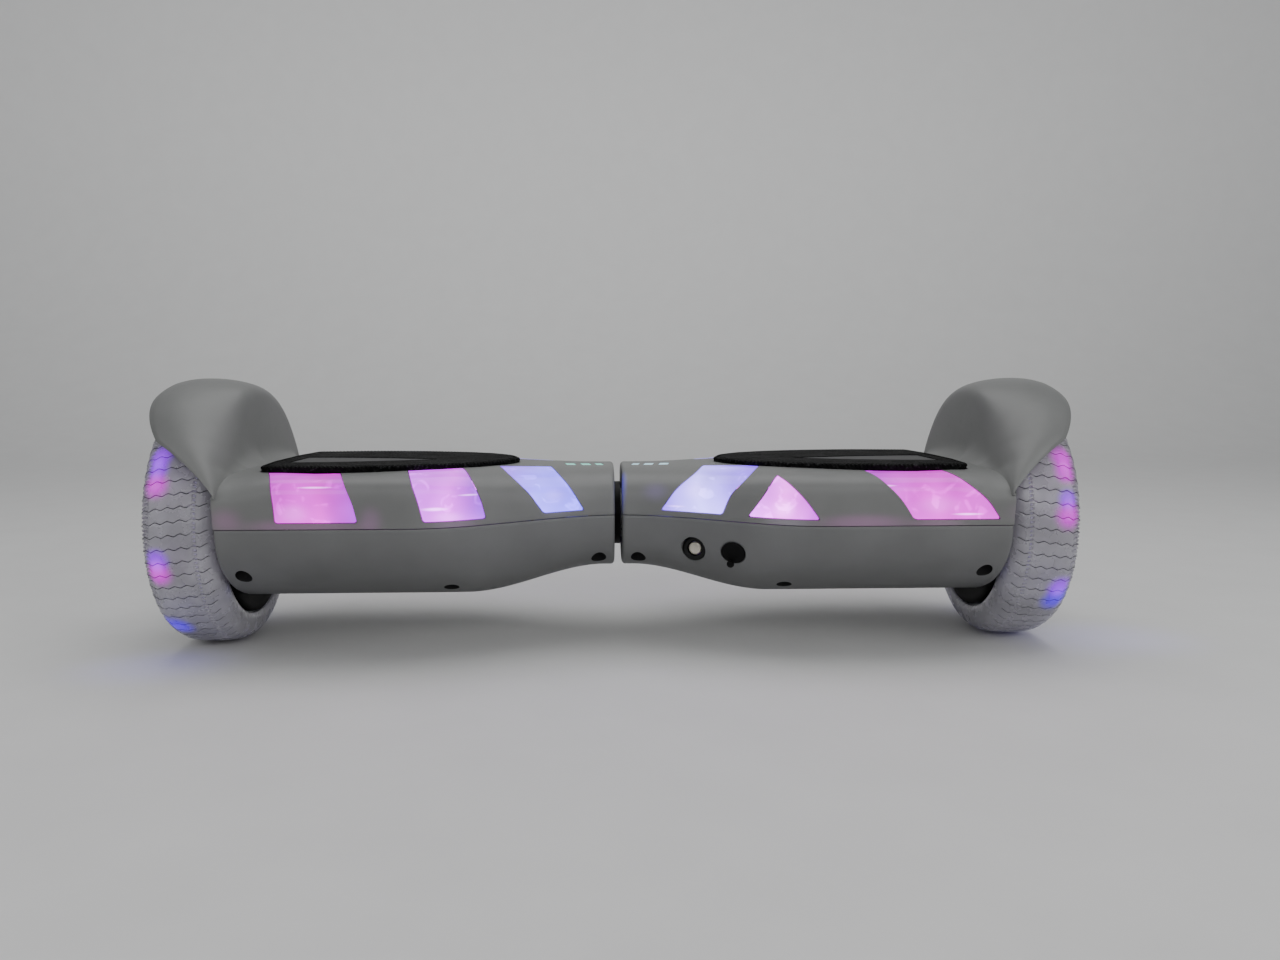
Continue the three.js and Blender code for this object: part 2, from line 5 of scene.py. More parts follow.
import bmesh
import bpy
import numpy as np
from mathutils import Euler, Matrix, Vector


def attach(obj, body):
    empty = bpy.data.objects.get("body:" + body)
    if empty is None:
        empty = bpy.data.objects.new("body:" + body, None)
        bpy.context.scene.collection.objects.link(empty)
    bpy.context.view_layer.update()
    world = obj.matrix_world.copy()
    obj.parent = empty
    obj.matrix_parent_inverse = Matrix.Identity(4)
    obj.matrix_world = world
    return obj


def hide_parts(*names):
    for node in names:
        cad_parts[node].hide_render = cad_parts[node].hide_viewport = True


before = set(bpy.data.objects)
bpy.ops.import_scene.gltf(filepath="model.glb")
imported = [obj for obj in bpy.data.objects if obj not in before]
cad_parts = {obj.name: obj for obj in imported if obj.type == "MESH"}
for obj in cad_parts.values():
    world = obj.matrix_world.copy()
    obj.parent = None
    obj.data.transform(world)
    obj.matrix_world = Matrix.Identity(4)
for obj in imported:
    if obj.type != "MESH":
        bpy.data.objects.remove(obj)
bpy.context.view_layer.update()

AXLE_Z = 83.5
PIVOT_Z = 85.4
GAP = 2.5  # from the middle plane to each half's end wall
BODY_END = 244.0
FOOT_X = 241.0  # the plane where the fender rises from the body
SKIN = 2.6
PAD_TOP = 124.0
TURN_IN = math.radians(22)
PORT_TILT = math.radians(26)
BUTTON_AT = (47.5, -59.7, 69.0)
PORT_AT = (71.9, -69.8, 68.1)
PAD_FLOOR = 118.2
PIVOT_HOLE = [(-1, 0), (-1, 22.4), (12, 22.4), (12, 0)]


# ---- maths ----
def ease(x):
    t = np.clip(x, 0, 1)
    return t * t * (3 - 2 * t)


def mix(a, b, t):
    return a + (b - a) * t


def section(u):
    """Half depth, seam, crest, keel and both superellipse powers of the body, at u from the middle."""
    spread = ease(u / 127)
    top = mix(119.5, 121.3, ease((u - 20) / 80))
    keel = mix(51.5, 33.5, ease((u - 10) / 90))
    boxy = ease((u - 75) / 45) * (1 - ease((u - 205) / 30))
    power_up = 3.5 + 1.2 * ease((u - 20) / 80) + 2.0 * boxy - 0.5 * ease((u - 215) / 25)
    return mix(52, 89, spread), mix(90.2, 87.2, spread), top, keel, power_up, mix(2.6, 2.1, spread)


def arc(u, inset, upper, count, gap=0.25, drop=0.0):
    """Evenly spaced (y, z) points over the upper or lower half of the section, front to back."""
    depth, seam, top, keel, n_up, n_down = section(u)
    n = n_up if upper else n_down
    sign = 1 if upper else -1
    height = (top - seam if upper else seam - keel) - inset
    a = np.linspace(0, math.pi, 721)
    y = -(depth - inset) * np.sign(np.cos(a)) * np.abs(np.cos(a)) ** (2 / n)
    rise = np.maximum(height * np.abs(np.sin(a)) ** (2 / n), gap)
    if upper:
        y = y * (1 + 0.03 * ease((u - 200) / 41) * ease((rise - 3) / 16))
    soft = 0.4 * np.clip(1 - (rise - gap) / 0.9, 0, 1) ** 2
    y = y - np.sign(y) * soft * (inset < 1)
    if drop:
        rise = np.concatenate([[-drop], rise, [-drop]])
        y = np.concatenate([y[:1], y, y[-1:]])
    z = seam + sign * rise
    run = np.concatenate([[0], np.cumsum(np.hypot(np.diff(y), np.diff(z)))])
    want = np.linspace(0, run[-1], count)
    return np.stack([np.interp(want, run, y), np.interp(want, run, z)], 1)


# ---- meshes ----
def make(name, verts, faces, smooth=35.0):
    """An object from points in millimetres."""
    mesh = bpy.data.meshes.new(name)
    mesh.from_pydata([tuple(v) for v in np.asarray(verts, float) * 0.001], [], faces)
    mesh.update()
    obj = bpy.data.objects.new(name, mesh)
    bpy.context.scene.collection.objects.link(obj)
    if smooth:
        mesh.shade_smooth()
        mesh.set_sharp_from_angle(angle=math.radians(smooth))
    return obj


def grid_faces(rows, cols, close_cols=False, close_rows=False, start=0, flip=False):
    faces = []
    for i in range(rows if close_rows else rows - 1):
        for j in range(cols if close_cols else cols - 1):
            a, b = i * cols + j, i * cols + (j + 1) % cols
            c, d = ((i + 1) % rows) * cols + (j + 1) % cols, ((i + 1) % rows) * cols + j
            quad = [start + k for k in (a, b, c, d)]
            faces.append(quad[::-1] if flip else quad)
    return faces


def outward(obj):
    """Turns the faces of a closed mesh outwards."""
    bm = bmesh.new()
    bm.from_mesh(obj.data)
    bmesh.ops.recalc_face_normals(bm, faces=bm.faces)
    bm.to_mesh(obj.data)
    bm.free()
    return obj


def loft(name, rings, smooth=35.0):
    """A closed solid through rings of points, capped at both ends."""
    rings = np.asarray(rings)
    rows, cols = rings.shape[:2]
    faces = grid_faces(rows, cols, close_cols=True)
    faces += [list(range(cols))[::-1], [(rows - 1) * cols + k for k in range(cols)]]
    return outward(make(name, rings.reshape(-1, 3), faces, smooth))


def slab(name, outer, inner, smooth=35.0):
    """A closed sheet between two grids of the same size."""
    rows, cols = outer.shape[:2]
    size = rows * cols
    faces = grid_faces(rows, cols) + grid_faces(rows, cols, start=size, flip=True)
    edge = [(0, j) for j in range(cols)] + [(i, cols - 1) for i in range(1, rows)]
    edge += [(rows - 1, j) for j in range(cols - 2, -1, -1)] + [(i, 0) for i in range(rows - 2, 0, -1)]
    flat = [i * cols + j for i, j in edge]
    faces += [[b, a, a + size, b + size] for a, b in zip(flat, flat[1:] + flat[:1])]
    return outward(make(name, np.concatenate([outer.reshape(-1, 3), inner.reshape(-1, 3)]), faces, smooth))


def lathe(name, profile, segments, z=AXLE_Z, closed=True, smooth=35.0):
    """A solid turned about an axis along X; an open (x, radius) profile starts and ends on the axis."""
    profile = np.asarray(profile, float)
    t = np.arange(segments) * 2 * math.pi / segments
    points = np.stack(
        [
            np.repeat(profile[None, :, 0], segments, 0),
            -np.outer(np.sin(t), profile[:, 1]),
            z + np.outer(np.cos(t), profile[:, 1]),
        ],
        2,
    )
    faces = grid_faces(segments, len(profile), close_rows=True, close_cols=closed)
    obj = make(name, points.reshape(-1, 3), faces, 0)
    return tidy(obj, smooth)


def tidy(obj, smooth=35.0):
    """Welds doubled points, drops empty faces, turns faces outwards and sets the shading."""
    bm = bmesh.new()
    bm.from_mesh(obj.data)
    bmesh.ops.remove_doubles(bm, verts=bm.verts, dist=2e-6)
    bmesh.ops.dissolve_degenerate(bm, edges=bm.edges, dist=1e-7)
    bmesh.ops.recalc_face_normals(bm, faces=bm.faces)
    bm.to_mesh(obj.data)
    bm.free()
    obj.data.shade_smooth()
    obj.data.set_sharp_from_angle(angle=math.radians(smooth))
    return obj


def prism(name, outline, low, high, axis=1):
    """A flat outline pushed along an axis from low to high."""
    outline = np.asarray(outline, float)
    rings = [np.insert(outline, axis, level, 1) for level in (low, high)]
    return loft(name, rings, 30)


def rounded(points, radius, steps=5):
    """The outline with its corners rounded."""
    points = np.asarray(points, float)
    out = []
    for before, here, after in zip(np.roll(points, 1, 0), points, np.roll(points, -1, 0)):
        a, b = before - here, after - here
        la, lb = np.linalg.norm(a), np.linalg.norm(b)
        cut = min(radius, 0.45 * la, 0.45 * lb)
        p, q = here + a / la * cut, here + b / lb * cut
        for t in np.linspace(0, 1, steps):
            out.append((1 - t) ** 2 * p + 2 * t * (1 - t) * here + t * t * q)
    return np.array(out)


def shrunk(outline, margin):
    """The outline moved inwards by a margin, or outwards if it is negative."""
    outline = np.asarray(outline, float)
    ahead, behind = np.roll(outline, -1, 0) - outline, outline - np.roll(outline, 1, 0)
    way = ahead / (np.linalg.norm(ahead, axis=1)[:, None] + 1e-9)
    way = way + behind / (np.linalg.norm(behind, axis=1)[:, None] + 1e-9)
    normal = np.stack([-way[:, 1], way[:, 0]], 1)
    normal /= np.linalg.norm(normal, axis=1)[:, None] + 1e-9
    x, y = outline[:, 0], outline[:, 1]
    area = np.sum(x * np.roll(y, -1) - np.roll(x, -1) * y)
    return outline + normal * margin * (1 if area > 0 else -1)


def boolean(obj, tool, operation="DIFFERENCE", keep=False):
    mod = obj.modifiers.new("cut", "BOOLEAN")
    mod.object, mod.operation, mod.solver = tool, operation, "MANIFOLD"
    bpy.context.view_layer.objects.active = obj
    bpy.ops.object.modifier_apply(modifier=mod.name)
    if not keep:
        bpy.data.objects.remove(tool, do_unlink=True)
    return obj


def mirrored(obj):
    """The same piece for the other half."""
    co = np.empty(len(obj.data.vertices) * 3)
    obj.data.vertices.foreach_get("co", co)
    co[0::3] *= -1
    obj.data.vertices.foreach_set("co", co)
    obj.data.flip_normals()
    return obj


# ---- materials ----
def linear(r, g, b):
    return [((c / 255 + 0.055) / 1.055) ** 2.4 if c > 10 else c / 255 / 12.92 for c in (r, g, b)] + [1.0]


class Nodes:
    """A small wrapper for building a material's node tree."""

    def __init__(self, name):
        self.material = bpy.data.materials.new(name)
        self.material.use_nodes = True
        self.tree = self.material.node_tree
        self.shader = self.tree.nodes["Principled BSDF"]
        self.coord = self.tree.nodes.new("ShaderNodeTexCoord").outputs["Object"]

    def new(self, kind, inputs=None, **settings):
        node = self.tree.nodes.new(kind)
        for key, value in settings.items():
            setattr(node, key, value)
        for key, value in (inputs or {}).items():
            if isinstance(value, bpy.types.NodeSocket):
                self.tree.links.new(value, node.inputs[key])
            else:
                node.inputs[key].default_value = value
        return node

    def noise(self, scale, detail=3.0, rough=0.55):
        return self.new(
            "ShaderNodeTexNoise",
            {"Vector": self.coord, "Scale": scale, "Detail": detail, "Roughness": rough},
        ).outputs["Fac"]

    def math(self, operation, a, b=0.0, clamp=False):
        return self.new("ShaderNodeMath", {0: a, 1: b}, operation=operation, use_clamp=clamp).outputs[0]

    def spread(self, value, a, b, lo, hi):
        return self.new(
            "ShaderNodeMapRange", {"Value": value, "From Min": a, "From Max": b, "To Min": lo, "To Max": hi}
        ).outputs[0]

    def ramp(self, value, stops):
        node = self.new("ShaderNodeValToRGB", {"Fac": value})
        marks = node.color_ramp.elements
        while len(marks) < len(stops):
            marks.new(0.5)
        for mark, (place, colour) in zip(marks, stops):
            mark.position, mark.color = place, colour
        return node.outputs["Color"]

    def set(self, **values):
        for key, value in values.items():
            socket = self.shader.inputs[key.replace("_", " ")]
            if isinstance(value, bpy.types.NodeSocket):
                self.tree.links.new(value, socket)
            else:
                socket.default_value = value
        return self

    def blobs(self, spots):
        """Sums soft coloured spots, each (centre in mm, radius or radii in mm, colour)."""
        total, mask = None, 0.0
        for centre, radius, colour in spots:
            radii = radius if isinstance(radius, tuple) else (radius,) * 3
            off = self.new(
                "ShaderNodeVectorMath", {0: self.coord, 1: [c / 1000 for c in centre]}, operation="SUBTRACT"
            ).outputs[0]
            off = self.new(
                "ShaderNodeVectorMath", {0: off, 1: [1000 / r for r in radii]}, operation="MULTIPLY"
            ).outputs[0]
            away = self.new("ShaderNodeVectorMath", {0: off}, operation="LENGTH").outputs["Value"]
            near = self.new(
                "ShaderNodeMapRange",
                {"Value": away, "To Min": 1.0, "To Max": 0.0},
                interpolation_type="SMOOTHERSTEP",
            ).outputs[0]
            lit = self.new(
                "ShaderNodeVectorMath", {0: colour[:3], "Scale": near}, operation="SCALE"
            ).outputs[0]
            total = lit if total is None else self.new(
                "ShaderNodeVectorMath", {0: total, 1: lit}, operation="ADD"
            ).outputs[0]
            mask = self.math("ADD", near, mask, clamp=True)
        return total, mask

    def bump(self, height, distance, strength=1.0):
        made = self.new("ShaderNodeBump", {"Height": height, "Strength": strength, "Distance": distance})
        self.tree.links.new(made.outputs[0], self.shader.inputs["Normal"])
        return self


def surface(
    name,
    colour,
    rough,
    grain=900.0,
    depth=0.00003,
    metal=0.0,
    vary=0.06,
    tint=0.12,
    coat=0.0,
    spots=(),
    shine=0.5,
):
    """A finish with fine grain, patchy gloss and slightly uneven colour."""
    m = Nodes(name)
    patches = m.noise(18.0, 5.0)
    dark = [c * (1 - tint) for c in colour[:3]] + [1.0]
    light = [min(1, c * (1 + tint)) for c in colour[:3]] + [1.0]
    scuffs = m.spread(m.noise(240.0, 2.0), 0.62, 0.75, 0, vary)
    gloss = m.math("ADD", m.spread(patches, 0.3, 0.7, rough - vary / 2, rough + vary / 2), scuffs)
    m.set(
        Base_Color=m.ramp(patches, [(0.3, dark), (0.7, light)]),
        Roughness=gloss,
        Metallic=metal,
        Coat_Weight=coat,
        Specular_IOR_Level=shine,
    )
    # Spots are painted glow: light spilled onto the surface, added as emission.
    if spots:
        m.set(Emission_Color=m.blobs(spots)[0], Emission_Strength=1.0)
    return m.bump(m.noise(grain, 2.0), depth).material


def grip(name):
    """Black grip rubber with close raised grains, their tops painted lighter as highlights and the hollows
    between them painted darker as shade.
    """
    m = Nodes(name)
    cells = m.new(
        "ShaderNodeTexVoronoi", {"Vector": m.coord, "Scale": 430.0}, feature="SMOOTH_F1"
    ).outputs["Distance"]
    height = m.math("ADD", m.spread(cells, 0.0, 0.7, 1.0, 0.0), m.math("MULTIPLY", m.noise(1500.0), 0.3))
    # Painted highlight on the tops of the grains and painted shade between them.
    painted_grain_shading = m.math(
        "MULTIPLY", m.spread(cells, 0.15, 0.5, 1.0, 0.0), m.spread(m.noise(30.0, 4.0), 0.3, 0.7, 0.6, 1.2)
    )
    m.set(
        Base_Color=m.ramp(
            painted_grain_shading, [(0.0, linear(3, 3, 3)), (0.55, linear(14, 14, 14)), (1.0, linear(46, 46, 47))]
        )
    )
    m.set(Roughness=m.spread(m.noise(60.0), 0.3, 0.7, 0.65, 0.85), Specular_IOR_Level=0.12)
    return m.bump(height, 0.0016, 1.0).material


# Painted glow on the shell: coloured light from the lit panels spilling onto the plastic near them, as soft
# spots of emission (centre in mm, radii in mm, colour).
PAINTED_SPILL_GLOW = {
    "right": [
        ((22, -60, 108), (15, 15, 13), [0.06, 0.03, 0.15]),
        ((3, -44, 108), (4, 14, 26), [0.02, 0.012, 0.3]),
        ((102, -86, 89), (26, 12, 9), [0.07, 0.05, 0.08]),
        ((150, -89, 89), (46, 12, 9), [0.10, 0.015, 0.09]),
        ((196, -89, 88), (26, 12, 8), [0.09, 0.02, 0.08]),
        ((245, -85, 96), (14, 16, 10), [0.03, 0.012, 0.03]),
    ],
    "left": [
        ((-190, -89, 89), (56, 12, 8), [0.09, 0.012, 0.08]),
        ((-236, -86, 93), (16, 14, 13), [0.07, 0.008, 0.06]),
        ((-150, -89, 92), (11, 12, 14), [0.06, 0.01, 0.06]),
        ((-100, -84, 89), (26, 12, 7), [0.08, 0.03, 0.09]),
        ((-34, -66, 94), (20, 14, 9), [0.04, 0.03, 0.09]),
    ],
}
SHELL = {
    side: surface(f"shell_plastic_{side}", linear(112, 113, 112), 0.46, 1500.0, 0.00002, spots=PAINTED_SPILL_GLOW[side])
    for side in PAINTED_SPILL_GLOW
}
# The lower shell is the upper shell's grey made darker as painted shade for the lower half, which faces away
# from the lamps, and a little rougher.
SHELL_LOW_SHADED = surface("shell_plastic_lower_shaded", linear(103, 104, 104), 0.5, 1500.0, 0.00002)
# Painted shade: a near-black finish for the inside of the screw wells, where shade falls.
WELL_PAINTED_SHADE = surface("well_painted_shade", linear(16, 16, 17), 0.7, shine=0.2)
GRIP = grip("pad_rubber")
GRIP_SMOOTH = surface("pad_smooth", linear(44, 44, 46), 0.55, 1200.0, 0.00004)
BLACK = surface("black_plastic", linear(8, 8, 9), 0.5, shine=0.25)
RUBBER = surface("cap_rubber", linear(4, 4, 4), 0.6, 700.0, 0.00006, shine=0.15)
METAL = surface("button_metal", linear(205, 200, 186), 0.3, 1400.0, 0.00002, 0.55)
STEEL = surface("steel", linear(170, 172, 175), 0.3, 1400.0, 0.00002, 1.0)
COVER = surface("cover_black", linear(3, 3, 3), 0.62, shine=0.1)
HUB = surface("hub_plastic", linear(52, 53, 55), 0.38)
RIM = surface("rim_alloy", linear(150, 151, 156), 0.4, 1400.0, 0.00002, 0.6)
MILKY = surface("milky", linear(190, 180, 205), 0.35)
SCREW = surface("screw_black", linear(30, 30, 31), 0.35, 1400.0, 0.00003, 0.9)


def glow(name, stops, low, high, strength, spots=()):
    """Milky lit plastic whose colour runs along the board between two X positions, in millimetres."""
    m = Nodes(name)
    split = m.new("ShaderNodeSeparateXYZ", {0: m.coord})
    along = m.spread(split.outputs[0], low / 1000, high / 1000, 0.0, 1.0)
    wobble = m.math("ADD", along, m.spread(m.noise(30.0, 1.0), 0.3, 0.7, -0.1, 0.1))
    colour = m.ramp(wobble, stops)
    height = m.spread(split.outputs[2], 0.092, 0.118, 1.1, 0.7)
    streak = m.new(
        "ShaderNodeTexNoise", {"Vector": m.coord, "Scale": 70.0, "Detail": 2.0, "Distortion": 1.6}
    ).outputs["Fac"]
    blotch = m.math(
        "ADD", m.spread(m.noise(45.0, 1.0), 0.3, 0.7, 0.8, 1.15), m.spread(streak, 0.6, 0.66, 0.0, 0.35)
    )
    # Spots add painted highlights, the thin streaks that reflect lamps, and brighter hot spots of the glow.
    if spots:
        colour = m.new(
            "ShaderNodeVectorMath", {0: colour, 1: m.blobs(spots)[0]}, operation="ADD"
        ).outputs[0]
    m.set(Base_Color=[0.02, 0.01, 0.025, 1], Roughness=0.24, Specular_IOR_Level=0.3, Emission_Color=colour)
    m.set(
        Emission_Strength=m.math("MULTIPLY", m.math("MULTIPLY", height, blotch), strength), Coat_Weight=0.3
    )
    return m.bump(m.noise(160.0), 0.00004).material


def tyre_finish(name, spots, base, rough=0.3, clear=0.35):
    """Milky clear tyre with coloured spots of light painted into it as glow, standing in for the lamps inside
    the wheel.
    """
    m = Nodes(name)
    cloud = m.spread(m.noise(40.0, 3.0), 0.3, 0.7, 0.8, 1.2)
    light, mask = m.blobs(spots)
    cloud = m.math("MULTIPLY", cloud, m.spread(mask, 0.0, 0.8, 1.0, 0.12))
    tone = m.new("ShaderNodeVectorMath", {0: base[:3], "Scale": cloud}, operation="SCALE").outputs[0]
    m.set(Base_Color=tone, Roughness=m.spread(m.noise(90.0), 0.3, 0.7, rough - 0.06, rough + 0.08))
    m.set(Transmission_Weight=clear, IOR=1.42, Emission_Color=light, Emission_Strength=1.0)
    return m.bump(m.noise(500.0, 2.0), 0.00008).material


def paint(obj, material, body, slot, *nodes):
    """Gives a piece its finish, its body and the CAD nodes it stands for. The slot is not used."""
    obj.data.materials.clear()
    obj.data.materials.append(material)
    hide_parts(*nodes)
    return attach(obj, body)


# ---- the shells ----
def tube(name, upper, inset, u0, u1, count, round_in=0.0, round_out=0.0, drop=0.0, rows=110):
    """The body between two stations, with its ends rounded over."""
    stations = []
    for t in np.linspace(0, math.pi / 2, 6 if round_in else 1):
        stations.append((u0 + round_in * (1 - math.cos(t)), round_in * (1 - math.sin(t))))
    stations += [(u, 0.0) for u in np.linspace(u0 + round_in, u1 - round_out, rows)[1:-1]]
    for t in np.linspace(math.pi / 2, 0, 6 if round_out else 1):
        stations.append((u1 - round_out * (1 - math.cos(t)), round_out * (1 - math.sin(t))))
    if not round_in:
        stations[0] = (u0, 0.0)
    if not round_out:
        stations[-1] = (u1, 0.0)
    rings = []
    for u, extra in stations:
        p = arc(u, inset + extra, upper, count, drop=drop)
        rings.append(np.insert(p, 0, u, 1))
    return loft(name, rings)


CROWN = 94.7  # the fender's greatest radius from the axle
CREST_AT = 0.6  # how far across the fender it is
INNER_DROP = 6.5
OUTER_DROP = 5.1
LIP_START = 76.0  # degrees from the top where the lip meets the body, and where it turns into the outer edge
LIP_CORNER = 51.5
LIP_OUT = 282.3
FENDER_OUT = 296.2


def reach(angle):
    """How far out the fender goes at an angle from the top, in degrees."""
    a = abs(angle)
    if a > LIP_CORNER:
        return mix(FOOT_X, LIP_OUT, ((LIP_START - a) / (LIP_START - LIP_CORNER)) ** 1.2)
    return FENDER_OUT - (FENDER_OUT - LIP_OUT) * max(0.0, (a - 23) / (LIP_CORNER - 23)) ** 2


def roll_off(s):
    """How far the fender falls away from its crest at a fraction of the way across it."""
    inner = INNER_DROP * np.clip(1 - s / CREST_AT, 0, 1) ** 2.2
    return inner + OUTER_DROP * np.clip((s - CREST_AT) / (1 - CREST_AT), 0, 1) ** 3


def smooth_curve(keys, t):
    """A smooth curve through keys (x, y), sampled at t."""
    x, y = np.array(keys, float).T
    slope = np.gradient(y, x)
    k = np.clip(np.searchsorted(x, t) - 1, 0, len(x) - 2)
    h = x[k + 1] - x[k]
    s = (np.asarray(t) - x[k]) / h
    a, b = (1 + 2 * s) * (1 - s) ** 2, s * (1 - s) ** 2
    c, d = s * s * (3 - 2 * s), s * s * (s - 1)
    return a * y[k] + b * h * slope[k] + c * y[k + 1] + d * h * slope[k + 1]


def fender(name):
    """The wing over the wheel: a fillet up from the body, the wall beside the wheel, the dome and its lip."""
    rim = arc(FOOT_X - 6, 0, True, 400)
    turn = np.degrees(np.arctan2(-rim[:, 0], rim[:, 1] - AXLE_Z))[::-1]
    away = np.hypot(rim[:, 0], rim[:, 1] - AXLE_Z)[::-1]
    outer, inner = [], []
    for angle in np.linspace(-76, 76, 141):
        edge = reach(angle)
        base = float(np.interp(angle, turn, away))
        s = np.linspace(0, 1, 34)
        roll = roll_off(s)
        narrow = np.clip((edge - 246) / 36, 0, 1)
        height = CROWN - base
        fuller = 1 + 1.3 * ease((angle - 14) / 30) - 0.2 * ease((-angle - 10) / 30)
        r = CROWN - roll * np.where(s < 0.6, min(fuller, 0.75 * height / INNER_DROP), narrow)
        x = mix(FOOT_X, edge, s)
        fillet = max(0.5, min(8.0, 0.42 * (r[0] - base)))
        t = np.linspace(0, math.pi / 2, 9)
        fx = FOOT_X - fillet + fillet * np.sin(t)
        fr = base + fillet * (1 - np.cos(t)) - 0.25 * np.clip(1 - t / 0.5, 0, 1)
        wall = np.linspace(base + fillet, r[0], 9)[1:-1]
        px = np.concatenate([fx, np.full(len(wall), FOOT_X), x])
        pr = np.concatenate([fr, wall, r])
        run = np.concatenate([[0], np.cumsum(np.hypot(np.diff(px), np.diff(pr)))])
        even = np.concatenate([np.linspace(0, run[-1], 62)])
        px, pr = np.interp(even, run, px), np.interp(even, run, pr)
        soft = 0.25 * mix(0.2, 1.0, ease((angle - 12) / 30))
        for _ in range(60):
            pr[2:-4] += soft * (pr[1:-5] - 2 * pr[2:-4] + pr[3:-3])
            px[2:-4] += soft * (px[1:-5] - 2 * px[2:-4] + px[3:-3])
        tx, tr = np.gradient(px), np.gradient(pr)
        size = np.hypot(tx, tr) + 1e-9
        qx, qr = px + 2.2 * tr / size, pr - 2.2 * tx / size
        a = math.radians(angle)
        for grid, gx, gr in ((outer, px, pr), (inner, qx, qr)):
            grid.append(np.stack([gx, -gr * math.sin(a), AXLE_Z + gr * math.cos(a)], 1))
    return slab(name, np.array(outer), np.array(inner))


PAD = [(67, 0), (72, 21), (89, 43), (112, 58), (135, 66), (150, 69.5), (172, 72), (194, 72.5)]


def pad_outline(count=44):
    """The foot pad's outline in plan."""
    keys = np.array(PAD, float)
    run = np.concatenate([[0], np.cumsum(np.hypot(*np.diff(keys, axis=0).T))])
    t = np.linspace(0, run[-1], count)
    front = np.stack([np.interp(t, run, keys[:, 0]), np.interp(t, run, keys[:, 1])], 1)
    for _ in range(4):
        front[1:-1] = (front[:-2] + 2 * front[1:-1] + front[2:]) / 4
    outer = rounded(
        [(194, 72.5), (222, 67.5), (226, 28), (226, -28), (222, -67.5), (194, -72.5)], 7, 7
    )[7:-7]
    front = front[:-2]
    return np.concatenate([front, outer, front[1:][::-1] * [1, -1]])


# Each window's near and far edges are X at four distances up the skin from the seam.
# Its ends are how far up the skin each edge goes.
LEVELS = (4, 16, 28, 64)
WINDOW_FOOT = 3.5
WINDOW_CORNER = 1.5
WINDOWS = {
    "right": [
        {"near": (27, 35, 45, 58), "far": (65, 70, 79, 93), "ends": (61, 64)},
        {"near": (80, 88, 95, 112), "far": (123, 114, 103, 84), "ends": (35, 35)},
        {"near": (181, 173, 162, 148), "far": (235, 226, 213, 196), "ends": (54, 54)},
    ],
    "left": [
        {"near": (158, 161, 166, 177), "far": (207, 208, 210, 224), "ends": (54, 54)},
        {"near": (82, 85, 90, 101), "far": (119, 122, 126, 135), "ends": (57, 57)},
        {"near": (22, 29, 36, 46), "far": (48, 56, 65, 78), "ends": (57, 64)},
    ],
}


def skin_point(x, up, inset):
    """The point at station x and a distance up the skin from the front seam, moved inwards by inset."""
    skin, moved = arc(x, 0, True, 240), arc(x, inset, True, 240)
    run = np.concatenate([[0], np.cumsum(np.hypot(*np.diff(skin, axis=0).T))])
    return [x, np.interp(up, run, moved[:, 0]), np.interp(up, run, moved[:, 1])]


def window_tool(window, margin, face):
    """A patch of the skin between a window's edges, through the wall, with rounded corners."""
    turn = np.linspace(0, math.pi / 2, 6)
    rise, inset = WINDOW_CORNER * (1 - np.cos(turn)), WINDOW_CORNER * (1 - np.sin(turn))
    ups, edges = [], []
    for side, end, inwards in (("near", window["ends"][0], 1), ("far", window["ends"][1], -1)):
        low, high = WINDOW_FOOT + margin, end - margin
        middle = np.linspace(low + WINDOW_CORNER, high - WINDOW_CORNER, 26)[1:-1]
        up = np.concatenate([low + rise, middle, (high - rise)[::-1]])
        corner = np.concatenate([inset, 0 * middle, inset[::-1]])
        keys = list(zip(LEVELS, window[side]))
        lean = smooth_curve(keys, up + 0.5) - smooth_curve(keys, up - 0.5)
        ups.append(up)
        edges.append(smooth_curve(keys, up) + inwards * (margin * np.hypot(1, lean) + corner))
    edges[1] = np.maximum(edges[1], edges[0] + 0.3)
    grids = []
    for depth in (-2.0, 7.0):
        rows = []
        for up0, up1, x0, x1 in zip(*ups, *edges):
            rows.append(
                [skin_point(mix(x0, x1, s), mix(up0, up1, s), depth) for s in np.linspace(0, 1, 11)]
            )
        grids.append(np.array(rows) * [1, face, 1])
    return slab("tool", grids[0], grids[1], 30)


def window_tools(side, margin, face):
    return [window_tool(window, margin, face) for window in WINDOWS[side]]


def bars(margin):
    """Outlines in plan of the slanted indicator slots by the waist."""
    out = []
    for x, width in ((9, 5.0), (17.3, 6.4), (27.6, 6.6)):
        y0, y1 = -13 + margin, 1 - margin
        out.append(
            [(x + margin, y0), (x + width - margin, y0), (x + width + 2 - margin, y1), (x + 2 + margin, y1)]
        )
    return out


def upper_shell(side):
    shell = tube("upper", True, 0, GAP, BODY_END, 170, 2.4, 1.2)
    boolean(shell, fender("fender"), "UNION")
    boolean(shell, tube("hollow", True, SKIN, GAP + 3, BODY_END - 3, 80, drop=6, rows=50))
    roof = prism("roof", shrunk(pad_outline(), -0.75), PAD_FLOOR - 3, PAD_FLOOR + 0.4, 2)
    boolean(shell, boolean(roof, tube("fit", True, 0.4, GAP, BODY_END, 90, rows=60), "INTERSECT"), "UNION")
    boolean(shell, prism("recess", shrunk(pad_outline(), -0.6), PAD_FLOOR, 140, 2))
    for face in (1, -1):
        for tool in window_tools(side, 0, face):
            boolean(shell, tool)
    for outline in bars(0):
        boolean(shell, prism("slot", rounded(outline, 0.8), 112, 130, 2))
    boolean(shell, lathe("hole", PIVOT_HOLE, 64, PIVOT_Z, False))
    return tidy(shell)


def lenses(side, face):
    """The three lit panels on one side, flush with the skin."""
    made = []
    for tool in window_tools(side, 0.45, face):
        lens = tube("lens", True, 0.12, GAP + 2, BODY_END - 2, 150, rows=90)
        boolean(lens, tube("hollow", True, 2.2, GAP, BODY_END, 90, drop=6, rows=60))
        boolean(lens, prism("clear", shrunk(pad_outline(), -1.0), PAD_FLOOR - 3.4, 140, 2))
        made.append(tidy(boolean(lens, tool, "INTERSECT")))
    return made


